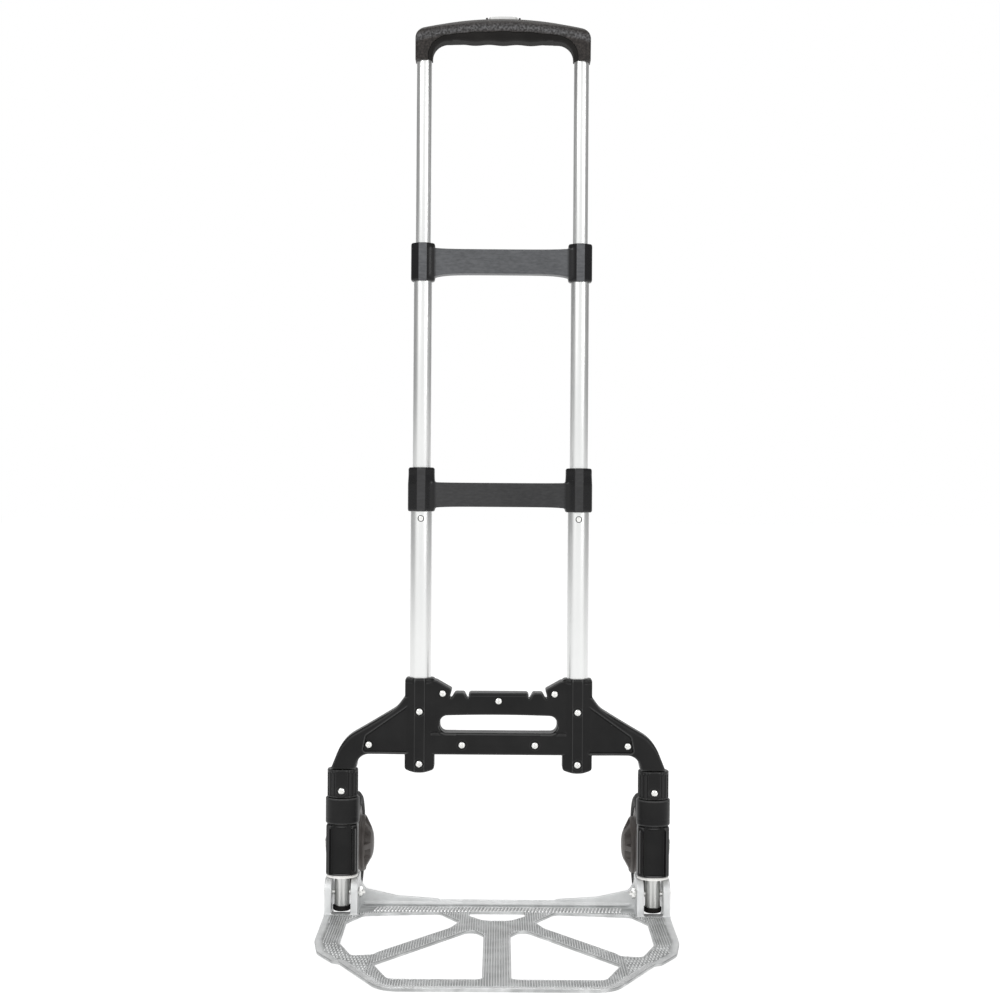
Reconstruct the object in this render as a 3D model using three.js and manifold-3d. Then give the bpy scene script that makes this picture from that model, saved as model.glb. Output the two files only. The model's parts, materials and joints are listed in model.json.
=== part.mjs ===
// A folding hand truck: telescopic handle, two-shell frame, swinging wheels and a hinged toe plate.
// Millimetres. +X is the viewer's right, +Y points behind the truck, +Z is up. The origin is on the
// floor, midway between the legs, in the plane of the telescopic tubes.
import * as THREE from 'three';
import { mergeVertices } from 'three/addons/utils/BufferGeometryUtils.js';
import Module from 'manifold-3d';

const wasm = await Module();
wasm.setup();

// ---------------------------------------------------------------- driving dimensions
const seatGap = 0.3;          // between pieces that touch
const slideGap = 0.55;        // radial, between one telescopic tube and the next
const runGap = 0.35;          // radial, round a shaft that turns
const sides = 16;             // facets round a tube and round all that fits it
const pinSides = 8;           // facets round pins, screws and their holes

const tubeSpacing = 174.5;    // between the axes of the two telescopic columns
const tubeWall = 1.2;
const lowerTubeRadius = 11.8;

const legSpacing = 345;       // between the axes of the two legs
const legTubeRadius = 8.5;
const legTubeBottom = 10.9;
const legTubeInFrame = 8;     // length of the leg tube held in the frame

const frame = {
  bottom: 160.5,              // under the tube sockets
  height: 104,                // of the tube sockets
  wall: 3,
  depth: 13,                  // front panel to parting plane
  socketWidth: 32.6,
  socketDepth: 16.5,
  socketFlat: 12,             // width of the flat strip down each socket
  socketSideDepth: 12,
  socketFloor: 3.6,
  beamRise: 19.9,             // cross beam's underside above the socket bottoms
  beamHeight: 68.4,
  slotRise: 24.1,             // hand slot above the beam's underside
  slotHeight: 19.9,
  slotHalfLength: 64.8,
  slotRound: 8,
  slotArch: 1.2,              // rise of the hand slot's top edge in the middle
  notchDepth: 6.6,
  notchX: [32.2, 50.6],       // inner corners of the two hook notches
  notchWidth: 3.1,
  shoulderRise: [15.1, 5.5],  // of the beam's top edge, beside the socket and at the outer notch
  wingDrop: 20.1,             // wing's top edge below the socket's top
  wingElbow: [26.5, 47.5],    // inside the leg axis, and above the wing's foot
  wingCrest: [0.5, 32],
  wingFoot: [14.8, 12.4],     // inside and outside the leg axis
  wingArmpit: 18,             // inside the leg axis, where the wing's underside turns down
  partGap: 0.3,
};
const frameScrew = {
  middleDrop: 8.8,            // below the beam's top
  shoulder: [61.8, 0.8],      // from the middle, and below the beam's top
  lowBar: [40.3, 10.7],       // from the middle, and above the beam's underside
  socketRise: [67.7, 10],     // above the socket bottoms
  wing: [29.5, 10.6],         // inside the leg axis, and above the beam's underside
};
const lowerBridge = { bottom: 448.7, height: 48.9, radius: 15, barBottom: 5.5, barHeight: 26.7, barDepth: 9 };
const upperBridge = { bottom: 704, height: 42.4, radius: 13.25, barBottom: 7.3, barHeight: 28.5, barDepth: 9 };
const bridgeCap = 8.6;        // material above the end of the tube that a bridge holds

const handle = {
  bottom: 948.5,
  top: 996,
  shoulderDrop: 11,           // from the crown to the shoulders
  legWidth: 19.6,
  gripHeight: 27,
  depth: 17,                  // half of front to back
  cornerRadius: 9.5,
  innerRadius: 16,
  coverThickness: 5,
  wall: 2.6,
};
const button = { length: 35, depth: 14, proud: 2.7, flange: 2, flangeThickness: 2.5, travel: 3 };
const yoke = { thickness: 4, depth: 10 };
const pushRodRadius = 2;
const returnSpring = { radius: 4, wire: 0.5, turns: 3.2 };

const middleOverlap = 65;     // of the middle tube inside the lower one
const upperOverlap = 57;      // of the upper tube inside the middle one
const bush = { flange: 4, spigot: 8, wall: 1.5, gap: 0.15 };
const middleLatch = { below: 7.7, buttonRadius: 2.75, width: 5, height: 26, proud: 0.4 };
const upperLatch = { below: -21, buttonRadius: 2.5, width: 4.5, height: 22, proud: -0.4 };
const leafThickness = 0.8;

const legCollar = { height: 31, radius: 17, screwRise: 8 };
const swivel = { ringRadius: 18.85, ringHeight: 27, neck: 3, sleeveHeight: 55, bearing: 36,
  halfWidth: 17.35, panelHalfWidth: 12.85, panelDepth: 14.2, sideHalfDepth: 8 };
const camRing = { radius: 17.4, thickness: 2.8, gapAbove: 0.5 };
const windSpring = { radius: 10.9, wire: 0.8, turns: 4, clearance: 1.1 };

const wheelRadius = 60;
const tyreWidth = 22;
const rimRadius = 44;
const wheelBehindLeg = 35;    // from the leg axis to the nearest point of the tyre
const wheelInnerOffset = 13.5;// from the leg axis to the tyre's inner face
const hubDome = { baseRadius: 32.5, baseHeight: 4, neckRadius: 18.5, neckHeight: 11.2, tipRadius: 12.5, tipHeight: 13.4,
  height: 14.2 };
const wheelArm = { gap: 1.6, thickness: 7.5, bossRadius: 21, bossTipRadius: 16.5, bossHeight: 9.5 };
const axle = { radius: 4, headRadius: 7, headHeight: 1.8 };

const plate = {
  thickness: 4,
  frontReach: 280,            // front edge ahead of the leg axis
  rearReach: 30,
  sideOverhang: 17.8,         // side edge outside the leg axis
  strap: 27.5,                // width of the outer straps
  lip: 31,                    // width of the front strap
  strutHalf: 14.2,            // half of the middle strut's width
  bandFront: 3,               // rear band's front edge ahead of the leg axis
  bandInner: 64,              // half of the rear band's straight middle stretch
  slotFront: 2,               // of the slot between each pair of ears, ahead of the leg axis
  diagonalDrop: 120,          // of each cut front corner
  diagonalInset: 77,
  hub: [46, -51],             // where the slanting struts meet the rear band
  centreHalf: 30.5,           // half of the middle opening's width, and its two depths
  centreSide: 15,
  centreFront: 34.5,
  flangeThickness: 4,
  flangeLow: 10.6,
  flangeShoulder: 22.8,       // of the flange just inside the ears
  flangeHigh: 44,
  cornerRelief: [[1.3, 42], [8.3, 0], [26, -30], [34, -34]], // inside the side edge, and behind the cut corner
};
const pivotHeight = 25.5;
const ear = { gap: 21.1, thickness: 7.85, front: 15, radius: 16.7, outerRear: 24 };
const pivotBolt = { radius: 2.75, headRadius: 6, headHeight: 1.4, tail: 7.5 };
const pivotNut = { acrossFlats: 10, thickness: 4.5 };

const screw = { headRadius: 4, headHeight: 1.6, shankRadius: 1.6, length: 20, bossRadius: 4.6 };
const legScrew = { headRadius: 4.6, headHeight: 1.6, shankRadius: 1.6, length: 10 };

// ---------------------------------------------------------------- places worked out from them
const tubeX = tubeSpacing / 2;
const legX = legSpacing / 2;
const middleTubeRadius = lowerTubeRadius - tubeWall - slideGap;
const upperTubeRadius = middleTubeRadius - tubeWall - slideGap;

const socketTop = frame.bottom + frame.height;
const socketInner = tubeX - frame.socketWidth / 2;
const socketOuter = tubeX + frame.socketWidth / 2;
const beamBottom = frame.bottom + frame.beamRise;
const beamTop = beamBottom + frame.beamHeight;
const slotBottom = beamBottom + frame.slotRise;
const legTop = frame.bottom + 2.8;

const lowerTubeBottom = frame.bottom + frame.socketFloor + seatGap;
const lowerTubeTop = lowerBridge.bottom + lowerBridge.height - bridgeCap;
const middleTubeBottom = lowerTubeTop - middleOverlap;
const middleTubeTop = upperBridge.bottom + upperBridge.height - bridgeCap;
const upperTubeBottom = middleTubeTop - upperOverlap;
const gripBottom = handle.top - handle.gripHeight;
const coverTop = gripBottom + handle.coverThickness;
const upperTubeTop = coverTop - 0.5;
const yokeBottom = coverTop + button.travel + 0.5;
const yokeTop = yokeBottom + yoke.thickness;

const middleButtonZ = lowerBridge.bottom - middleLatch.below;
const upperButtonZ = upperBridge.bottom - upperLatch.below;

const collarTop = legTop - seatGap;
const collarBottom = collarTop - legCollar.height;
const ringTop = collarBottom - 0.4;
const sleeveTop = ringTop - swivel.ringHeight - swivel.neck;
const sleeveBottom = sleeveTop - swivel.sleeveHeight;
const camTop = sleeveBottom - seatGap;
const camBottom = camTop - camRing.thickness;

const wheelY = wheelRadius + wheelBehindLeg;
const wheelZ = wheelRadius;
const tyreInnerX = legX - wheelInnerOffset;
const tyreOuterX = tyreInnerX + tyreWidth;
const armInnerX = tyreOuterX + wheelArm.gap;
const armOuterX = armInnerX + wheelArm.thickness;
const bossTipX = armOuterX + wheelArm.bossHeight;

const earInner = [legX - ear.gap / 2 - ear.thickness, legX - ear.gap / 2];
const earOuter = [legX + ear.gap / 2, legX + ear.gap / 2 + ear.thickness];

const { middleDrop, shoulder, lowBar, socketRise, wing: wingScrew } = frameScrew;
const frameScrews = [
  [0, beamTop - middleDrop], [shoulder[0], beamTop - shoulder[1]], [-shoulder[0], beamTop - shoulder[1]],
  [lowBar[0], beamBottom + lowBar[1]], [-lowBar[0], beamBottom + lowBar[1]],
  [tubeX, frame.bottom + socketRise[0]], [-tubeX, frame.bottom + socketRise[0]],
  [tubeX, frame.bottom + socketRise[1]], [-tubeX, frame.bottom + socketRise[1]],
  [legX - wingScrew[0], beamBottom + wingScrew[1]], [wingScrew[0] - legX, beamBottom + wingScrew[1]],
];

// ---------------------------------------------------------------- materials
const finish = (color, roughness, metalness) => () =>
  new THREE.MeshStandardMaterial({ color, roughness, metalness });
const blackPlastic = finish(0x222224, 0.5, 0);
const greyPlastic = finish(0x46474a, 0.42, 0);
const handlePlastic = finish(0x34322f, 0.65, 0);
const silverPlastic = finish(0xc9c9c6, 0.35, 0);
const nylon = finish(0xf0efe9, 0.45, 0);
const hubPlastic = finish(0x77706c, 0.5, 0);
const rubber = finish(0x151515, 0.8, 0);
const tubeAluminium = finish(0xc4c6c8, 0.28, 1);
const castAluminium = finish(0xb4b6b6, 0.45, 1);
const zincSteel = finish(0xc8c8c4, 0.3, 1);
const springSteel = finish(0x8d8f92, 0.35, 1);

// ---------------------------------------------------------------- solids
// Three corners of one triangle give six times the volume of its tetrahedron at the origin.
function signedVolume(position, triangles) {
  const corner = [new THREE.Vector3(), new THREE.Vector3(), new THREE.Vector3()];
  let volume = 0;
  for (let t = 0; t < triangles.length; t += 3) {
    corner.forEach((point, k) => point.fromArray(position, 3 * triangles[t + k]));
    volume += corner[0].dot(corner[1].cross(corner[2])) / 6;
  }
  return volume;
}

// A closed geometry becomes a solid; its faces are turned outwards and its flat-pole triangles dropped.
function toSolid(geometry) {
  const bare = geometry.clone();
  bare.deleteAttribute('normal');
  bare.deleteAttribute('uv');
  const merged = mergeVertices(bare, 1e-4);
  const position = merged.attributes.position.array;
  const index = Array.from(merged.index.array);
  const triangles = [];
  for (let t = 0; t < index.length; t += 3) {
    const [a, b, c] = index.slice(t, t + 3);
    if (a !== b && b !== c && c !== a) triangles.push(a, b, c);
  }
  if (signedVolume(position, triangles) < 0) triangles.reverse();
  const mesh = new wasm.Mesh({
    numProp: 3,
    vertProperties: new Float32Array(position),
    triVerts: new Uint32Array(triangles),
  });
  return new wasm.Manifold(mesh);
}

function toGeometry(solid) {
  const mesh = solid.getMesh();
  const geometry = new THREE.BufferGeometry();
  geometry.setAttribute('position', new THREE.BufferAttribute(mesh.vertProperties, 3));
  geometry.setIndex(new THREE.BufferAttribute(mesh.triVerts, 1));
  geometry.computeVertexNormals();
  return geometry;
}

const join = (first, ...rest) => rest.reduce((sum, solid) => sum.add(solid), first);
const cut = (first, ...rest) => rest.reduce((left, solid) => left.subtract(solid), first);
const mirrored = (solid) => toSolid(toGeometry(solid).scale(-1, 1, 1));
const moved = (solid, x, y, z) => toSolid(toGeometry(solid).translate(x, y, z));

// Corners are [u, v, radius]; a corner with a radius becomes an arc of short chords.
function filleted(corners, chordAngle = Math.PI / 7) {
  const points = [];
  corners.forEach(([u, v, radius = 0], i) => {
    const here = new THREE.Vector2(u, v);
    if (!radius) {
      points.push(here);
      return;
    }
    const [beforeU, beforeV] = corners.at(i - 1);
    const [afterU, afterV] = corners[(i + 1) % corners.length];
    const toBefore = new THREE.Vector2(beforeU, beforeV).sub(here).normalize();
    const toAfter = new THREE.Vector2(afterU, afterV).sub(here).normalize();
    const half = Math.acos(THREE.MathUtils.clamp(toBefore.dot(toAfter), -1, 1)) / 2;
    const centre = toBefore.clone().add(toAfter).normalize();
    centre.multiplyScalar(radius / Math.sin(half)).add(here);
    const start = toBefore.clone().multiplyScalar(radius / Math.tan(half)).add(here).sub(centre);
    const turn = Math.sign(toBefore.cross(toAfter)) * (Math.PI - 2 * half);
    const steps = Math.max(1, Math.ceil(Math.abs(turn) / chordAngle));
    for (let k = 0; k <= steps; k += 1) {
      const arm = start.clone().rotateAround(new THREE.Vector2(), (-turn * k) / steps);
      points.push(arm.add(centre));
    }
  });
  return points;
}

// The half outline runs from the middle line round one side and back to it.
const bothSides = (half) => [...half, ...half.filter(([u]) => u > 0).map(([u, v, r]) => [-u, v, r]).reverse()];

const slab = (points, depth) =>
  new THREE.ExtrudeGeometry(new THREE.Shape(points), { depth, bevelEnabled: false });

// Outlines seen from above (u = X, v = Y), from the front (u = X, v = Z) and from the side (u = Y, v = Z).
const plan = (points, low, high) => toSolid(slab(points, high - low).translate(0, 0, low));
const front = (points, near, far) =>
  toSolid(slab(points, far - near).rotateX(Math.PI / 2).translate(0, far, 0));
const sideBasis = new THREE.Matrix4().makeBasis(
  new THREE.Vector3(0, 1, 0), new THREE.Vector3(0, 0, 1), new THREE.Vector3(1, 0, 0));
const side = (points, low, high) =>
  toSolid(slab(points, high - low).applyMatrix4(sideBasis).translate(low, 0, 0));

const box = (x, y, z) => toSolid(new THREE.BoxGeometry(x[1] - x[0], y[1] - y[0], z[1] - z[0])
  .translate((x[0] + x[1]) / 2, (y[0] + y[1]) / 2, (z[0] + z[1]) / 2));

// A profile of [radius, height] pairs turned round an upright axis, or round one along X or Y.
function turned(profile, segments = sides) {
  return new THREE.LatheGeometry(profile.map(([r, h]) => new THREE.Vector2(r, h)), segments);
}
const uprightAt = (x, y, profile, segments) =>
  toSolid(turned(profile, segments).rotateX(Math.PI / 2).translate(x, y, 0));
const alongX = (y, z, profile, segments) =>
  toSolid(turned(profile, segments).rotateZ(-Math.PI / 2).translate(0, y, z));
const alongY = (x, z, profile, segments) => toSolid(turned(profile, segments).translate(x, 0, z));

const ring = (outer, inner, low, high) =>
  [[outer, low], [outer, high], [inner, high], [inner, low], [outer, low]];
const rod = (radius, low, high) => [[0, low], [radius, low], [radius, high], [0, high]];

function helix(x, y, low, high, radius, wire, turns) {
  const points = [];
  const perTurn = 9;
  const steps = Math.round(turns * perTurn);
  for (let k = 0; k <= steps; k += 1) {
    const angle = (2 * Math.PI * k) / perTurn;
    const rise = low + wire + ((high - low - 2 * wire) * k) / steps;
    points.push(new THREE.Vector3(x + radius * Math.cos(angle), y + radius * Math.sin(angle), rise));
  }
  const section = new THREE.Shape();
  for (let k = 0; k < 5; k += 1) {
    const angle = (2 * Math.PI * k) / 5;
    section[k ? 'lineTo' : 'moveTo'](wire * Math.cos(angle), wire * Math.sin(angle));
  }
  const extrudePath = new THREE.CatmullRomCurve3(points);
  return toSolid(new THREE.ExtrudeGeometry(section, { steps, extrudePath, bevelEnabled: false }));
}

// ---------------------------------------------------------------- the truck
const truck = new THREE.Group();

function add(name, solid, material) {
  const mesh = new THREE.Mesh(toGeometry(solid), material());
  mesh.name = name;
  truck.add(mesh);
}
// The solid is made for the right-hand side, +X, and mirrored for the left.
function addPair(name, solid, material) {
  add(`${name}_left`, mirrored(solid), material);
  add(`${name}_right`, solid, material);
}

const tubeSolid = (x, radius, low, high) => uprightAt(x, 0, ring(radius, radius - tubeWall, low, high));
const frontHole = (x, z, radius, depth) => alongY(x, z, rod(radius, -depth, 0), pinSides);

// -- telescopic tubes; the latch buttons come out through their front walls
const middleButtonHole = frontHole(tubeX, middleButtonZ, middleLatch.buttonRadius + seatGap, 20);
const upperButtonHole = frontHole(tubeX, upperButtonZ, upperLatch.buttonRadius + seatGap, 20);
const lowerTube = tubeSolid(tubeX, lowerTubeRadius, lowerTubeBottom, lowerTubeTop);
const middleTube = tubeSolid(tubeX, middleTubeRadius, middleTubeBottom, middleTubeTop);
const upperTube = tubeSolid(tubeX, upperTubeRadius, upperTubeBottom, upperTubeTop);
addPair('lower_tube', cut(lowerTube, middleButtonHole), tubeAluminium);
addPair('middle_tube', cut(middleTube, middleButtonHole, upperButtonHole), tubeAluminium);
addPair('upper_tube', cut(upperTube, upperButtonHole), tubeAluminium);

// -- guide bush pressed into the foot of a sliding tube
function tubeBush(tubeRadius, tubeBottom) {
  const outer = tubeRadius + slideGap - bush.gap;
  const spigot = tubeRadius - tubeWall - bush.gap;
  const inner = spigot - bush.wall;
  const low = tubeBottom - seatGap - bush.flange;
  const shoulder = tubeBottom - seatGap;
  return uprightAt(tubeX, 0, [
    [outer, low], [outer, shoulder], [spigot, shoulder], [spigot, tubeBottom + bush.spigot],
    [inner, tubeBottom + bush.spigot], [inner, low], [outer, low],
  ]);
}
addPair('middle_bush', tubeBush(middleTubeRadius, middleTubeBottom), nylon);
addPair('upper_bush', tubeBush(upperTubeRadius, upperTubeBottom), nylon);

// -- snap latch: a leaf spring bent into a U inside the tube, with a button on its front leg
function snapLatch(tubeRadius, buttonZ, spec) {
  const reach = tubeRadius - tubeWall - 0.95;
  const low = buttonZ - 5;
  const high = low + spec.height;
  const outside = filleted([[-reach, low], [reach, low], [reach, high, reach - 0.5], [-reach, high, reach - 0.5]]);
  const within = reach - leafThickness;
  const inside = filleted([
    [-within, low - 1], [within, low - 1],
    [within, high - leafThickness, within - 0.5], [-within, high - leafThickness, within - 0.5],
  ]);
  const half = spec.width / 2;
  const leaf = cut(side(outside, -half, half), side(inside, -half - 1, half + 1));
  const tip = tubeRadius + tubeWall + slideGap + spec.proud;
  const pin = alongY(0, buttonZ, rod(spec.buttonRadius, -tip, -reach + leafThickness / 2), pinSides);
  return moved(join(leaf, pin), tubeX, 0, 0);
}
addPair('middle_latch', snapLatch(middleTubeRadius, middleButtonZ, middleLatch), springSteel);
addPair('upper_latch', snapLatch(upperTubeRadius, upperButtonZ, upperLatch), springSteel);

// -- bridges: a collar on each tube, joined by a bar
function bridge(spec, heldRadius, passingRadius, endDrop) {
  const { bottom, height, radius } = spec;
  const top = bottom + height;
  const soft = 2;
  const barrel = [
    [0, bottom], [radius - soft, bottom], [radius, bottom + 3 * soft], [radius, top - 3 * soft],
    [radius - soft, top], [0, top],
  ];
  const bore = [
    [0, bottom - 1], [heldRadius + seatGap / 2, bottom - 1], [heldRadius + seatGap / 2, top - bridgeCap + seatGap],
    [passingRadius + runGap, top - bridgeCap + seatGap], [passingRadius + runGap, top + 1], [0, top + 1],
  ];
  const barBottom = bottom + spec.barBottom;
  const barTop = barBottom + spec.barHeight;
  const bar = front(filleted(bothSides([
    [tubeX, barTop], [tubeX, barBottom - endDrop], [tubeX - radius - 14, barBottom],
  ])), -spec.barDepth, spec.barDepth);
  const collars = [tubeX, -tubeX].map((x) => uprightAt(x, 0, barrel));
  const bores = [tubeX, -tubeX].map((x) => uprightAt(x, 0, bore));
  return cut(join(bar, ...collars), ...bores);
}
add('lower_bridge', bridge(lowerBridge, lowerTubeRadius, middleTubeRadius, 1), blackPlastic);
add('upper_bridge', bridge(upperBridge, middleTubeRadius, upperTubeRadius, 2), greyPlastic);

// -- handle: an arched shell on the two upper tubes, closed below by the grip cover
const legInner = tubeX - handle.legWidth / 2;
const legOuter = tubeX + handle.legWidth / 2;
const shoulderX = legOuter - handle.cornerRadius;
const crown = (x) => handle.top - handle.shoulderDrop * (x / shoulderX) ** 2;
const coverHalf = legInner - handle.innerRadius;
const shellOutline = filleted(bothSides([
  [0, handle.top], ...[0.3, 0.6, 0.85].map((k) => [k * shoulderX, crown(k * shoulderX)]),
  [legOuter, crown(shoulderX), handle.cornerRadius], [legOuter, handle.bottom, 1], [legInner, handle.bottom, 1],
  [legInner, gripBottom, handle.innerRadius - 1], [coverHalf, gripBottom], [coverHalf, coverTop + seatGap],
]));
const tubeSockets = [tubeX, -tubeX].map((x) => uprightAt(x, 0,
  rod(upperTubeRadius + seatGap / 2, handle.bottom - 1, coverTop + seatGap + 1)));
const cavityTop = yokeTop + 1;
const cavityX = tubeX + 4.5;
const yokeRoom = box([-cavityX, cavityX], [-yoke.depth / 2 - 1, yoke.depth / 2 + 1], [coverTop, cavityTop]);
const flangeTop = yokeTop + seatGap + button.flangeThickness;
const flangeX = button.length / 2 + button.flange;
const flangeY = button.depth / 2 + button.flange;
const flangeRoom = box([-flangeX - 0.5, flangeX + 0.5], [-flangeY - 0.5, flangeY + 0.5], [coverTop, flangeTop + seatGap]);
const stadium = (half, depth) => filleted([
  [-half, -depth, 0.6 * depth], [half, -depth, 0.6 * depth], [half, depth, 0.6 * depth], [-half, depth, 0.6 * depth],
]);
const buttonHole = plan(stadium(button.length / 2 + 0.4, button.depth / 2 + 0.4), coverTop, handle.top + 1);
add('handle_shell', cut(front(shellOutline, -handle.depth, handle.depth),
  ...tubeSockets, yokeRoom, flangeRoom, buttonHole), handlePlastic);

const pocketFloor = gripBottom + 1.2;
const gripCover = front(filleted(bothSides([
  [coverHalf - seatGap, coverTop], [coverHalf - seatGap, gripBottom + 0.6, 1.5], [44, gripBottom],
  [33, gripBottom + 0.9], [22, gripBottom], [11, gripBottom + 0.9], [0, gripBottom],
])), -handle.depth + 1, handle.depth - 1);
const springPocket = uprightAt(0, 0, rod(returnSpring.radius + returnSpring.wire + 0.9, pocketFloor, coverTop + 1));
add('handle_grip', cut(gripCover, springPocket), handlePlastic);
add('release_spring', helix(0, 0, pocketFloor + seatGap, yokeBottom - seatGap, returnSpring.radius,
  returnSpring.wire, returnSpring.turns), springSteel);

// -- release: the button pushes the yoke, and the yoke pushes one rod down each upper tube
const buttonTop = handle.top + button.proud;
add('release_button', join(
  plan(stadium(button.length / 2, button.depth / 2), yokeTop + seatGap, buttonTop),
  plan(stadium(flangeX, flangeY), yokeTop + seatGap, flangeTop),
), silverPlastic);
add('release_yoke', plan(stadium(cavityX - 1, yoke.depth / 2), yokeBottom, yokeTop), blackPlastic);
const latchTop = upperButtonZ - 5 + upperLatch.height;
addPair('push_rod', uprightAt(tubeX, 0,
  rod(pushRodRadius, latchTop + button.travel + 2, yokeBottom - seatGap), pinSides), springSteel);

// -- frame: two shells that part in the plane of the tubes
const { notchX, notchWidth, shoulderRise, wingElbow, wingCrest, wingFoot, slotRound } = frame;
const notchFloor = beamTop - frame.notchDepth;
const wingTop = socketTop - frame.wingDrop;
const wingArmpitX = legX - frame.wingArmpit;
const frameOutline = filleted(bothSides([
  [notchX[0] + 0.7, beamTop, 3], [notchX[0], notchFloor, 0.8], [notchX[0] + notchWidth, notchFloor, 0.8],
  [notchX[0] + 2.3 * notchWidth, beamTop, 2.6], [notchX[1] - 1.2 * notchWidth, beamTop, 2.6],
  [notchX[1], notchFloor, 0.8], [notchX[1] + notchWidth, notchFloor, 0.8],
  [notchX[1] + notchWidth, beamTop + shoulderRise[1], 1.5],
  [socketInner - 2, beamTop + shoulderRise[0]], [socketInner, socketTop, 2], [socketOuter, socketTop, 2],
  [socketOuter, wingTop], [legX - wingElbow[0], legTop + wingElbow[1], 30],
  [legX - wingCrest[0], legTop + wingCrest[1], 21], [legX + wingFoot[1], legTop], [legX - wingFoot[0], legTop],
  [wingArmpitX, beamBottom, 14], [socketOuter, beamBottom],
  [socketOuter - 0.6, frame.bottom, 2.5], [socketInner + 0.6, frame.bottom, 2.5], [socketInner, beamBottom],
]));
const slotTop = slotBottom + frame.slotHeight;
const handSlot = filleted([
  [-frame.slotHalfLength, slotBottom, slotRound], [frame.slotHalfLength, slotBottom, slotRound],
  [frame.slotHalfLength, slotTop - frame.slotArch, slotRound - frame.slotArch], [0, slotTop],
  [-frame.slotHalfLength, slotTop - frame.slotArch, slotRound - frame.slotArch],
]);
const socketSection = (x) => filleted([
  [x - frame.socketWidth / 2, -1], [x - frame.socketWidth / 2, frame.socketSideDepth],
  [x - frame.socketFlat / 2, frame.socketDepth], [x + frame.socketFlat / 2, frame.socketDepth],
  [x + frame.socketWidth / 2, frame.socketSideDepth], [x + frame.socketWidth / 2, -1],
]);

// The back half: parting plane to the rear face. The front shell is the same, turned to face forward.
function frameHalf() {
  const { wall, depth, partGap } = frame;
  const near = partGap / 2;
  const panel = cut(front(frameOutline, near, depth), front(handSlot, near - 1, depth + 1));
  const skins = [tubeX, -tubeX].map((x) => {
    const bulge = plan(socketSection(x), frame.bottom, socketTop);
    return bulge.intersect(box([x - 50, x + 50], [near, depth + 50], [frame.bottom, socketTop]));
  });
  const rooms = [
    [[-socketInner + 6, slotTop + wall], [socketInner - 6, slotTop + wall], [socketInner - 6, notchFloor - wall],
      [-socketInner + 6, notchFloor - wall]],
    [[-socketInner + 4, beamBottom + wall], [socketInner - 4, beamBottom + wall], [socketInner - 4, slotBottom - wall],
      [-socketInner + 4, slotBottom - wall]],
  ];
  const wing = [
    [socketOuter + wall, beamBottom + wall], [wingArmpitX, beamBottom + wall], [wingArmpitX + 4, legTop + 31],
    [legX - wingElbow[0] - 0.5, legTop + wingElbow[1] - wall], [socketOuter + wall, wingTop - 2 * wall],
  ];
  rooms.push(wing, wing.map(([u, v]) => [-u, v]));
  const bosses = frameScrews.map(([x, z]) => alongY(x, z, rod(screw.bossRadius, -1, depth), pinSides));
  const hollows = rooms.map((room) => cut(front(filleted(room), -1, depth - wall), ...bosses));
  const tubeBores = [tubeX, -tubeX].map((x) => uprightAt(x, 0,
    rod(lowerTubeRadius + seatGap, lowerTubeBottom - seatGap, socketTop + 1)));
  const legBores = [legX, -legX].map((x) => uprightAt(x, 0,
    rod(legTubeRadius + seatGap, legTop - 1, legTop + legTubeInFrame)));
  return cut(join(panel, ...skins), ...hollows, ...tubeBores, ...legBores);
}
const half = frameHalf();
// A screw on a tube socket stands on the socket's flat and is short; the others reach into the back shell.
const onSocket = ([x]) => Math.abs(Math.abs(x) - tubeX) < 1;
const seatOf = (place) => (onSocket(place) ? frame.socketDepth : frame.depth);
const shortScrew = frame.socketDepth - lowerTubeRadius - seatGap - 0.6;
const lengthOf = (place) => (onSocket(place) ? shortScrew : screw.length);
const screwHoles = frameScrews.map((place) => {
  const seat = -seatOf(place);
  return alongY(place[0], place[1],
    rod(screw.shankRadius + seatGap, seat - 1, seat + lengthOf(place) + seatGap), pinSides);
});
const frontHalf = toSolid(toGeometry(half).scale(1, -1, 1));
add('frame_front_shell', cut(frontHalf, ...screwHoles), blackPlastic);
add('frame_back_shell', cut(half, ...screwHoles), blackPlastic);

// -- pan-head screw standing on a face at y = seat, pointing back
function panScrew(x, z, seat, length, spec) {
  const under = seat - 0.1;
  const top = under - spec.headHeight;
  return alongY(x, z, [
    [0, top], [0.6 * spec.headRadius, top], [spec.headRadius, top + 0.6 * spec.headHeight], [spec.headRadius, under],
    [spec.shankRadius, under], [spec.shankRadius, seat + length - 1], [0, seat + length],
  ], pinSides);
}
frameScrews.forEach((place, k) => {
  const solid = panScrew(place[0], place[1], -seatOf(place), lengthOf(place), screw);
  add(`frame_screw_${k + 1}`, solid, zincSteel);
});

// -- legs: an aluminium tube with a ribbed collar under the frame
const pivotHole = alongX(0, pivotHeight, rod(pivotBolt.radius + seatGap, 0, 2 * legX), pinSides);
const legScrewZ = collarBottom + legCollar.screwRise;
const legScrewHole = frontHole(legX, legScrewZ, legScrew.shankRadius + seatGap, legCollar.radius + 5);
const legTube = uprightAt(legX, 0, ring(legTubeRadius, legTubeRadius - tubeWall, legTubeBottom, legTop + legTubeInFrame - seatGap));
addPair('leg_tube', cut(legTube, pivotHole, legScrewHole), tubeAluminium);
const collarRound = uprightAt(legX, 0, [
  [legTubeRadius + seatGap, collarBottom], [legCollar.radius, collarBottom], [legCollar.radius, collarTop - 2],
  [legCollar.radius - 1.5, collarTop], [legTubeRadius + seatGap, collarTop], [legTubeRadius + seatGap, collarBottom],
]);
const collarFlat = legCollar.radius - 0.7;
const collarShave = box([legX - 20, legX + 20], [-30, -collarFlat], [collarBottom - 1, collarTop + 1]);
addPair('leg_collar', cut(collarRound, collarShave, legScrewHole), blackPlastic);
addPair('leg_screw', panScrew(legX, legScrewZ, -collarFlat, legScrew.length, legScrew), zincSteel);

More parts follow.
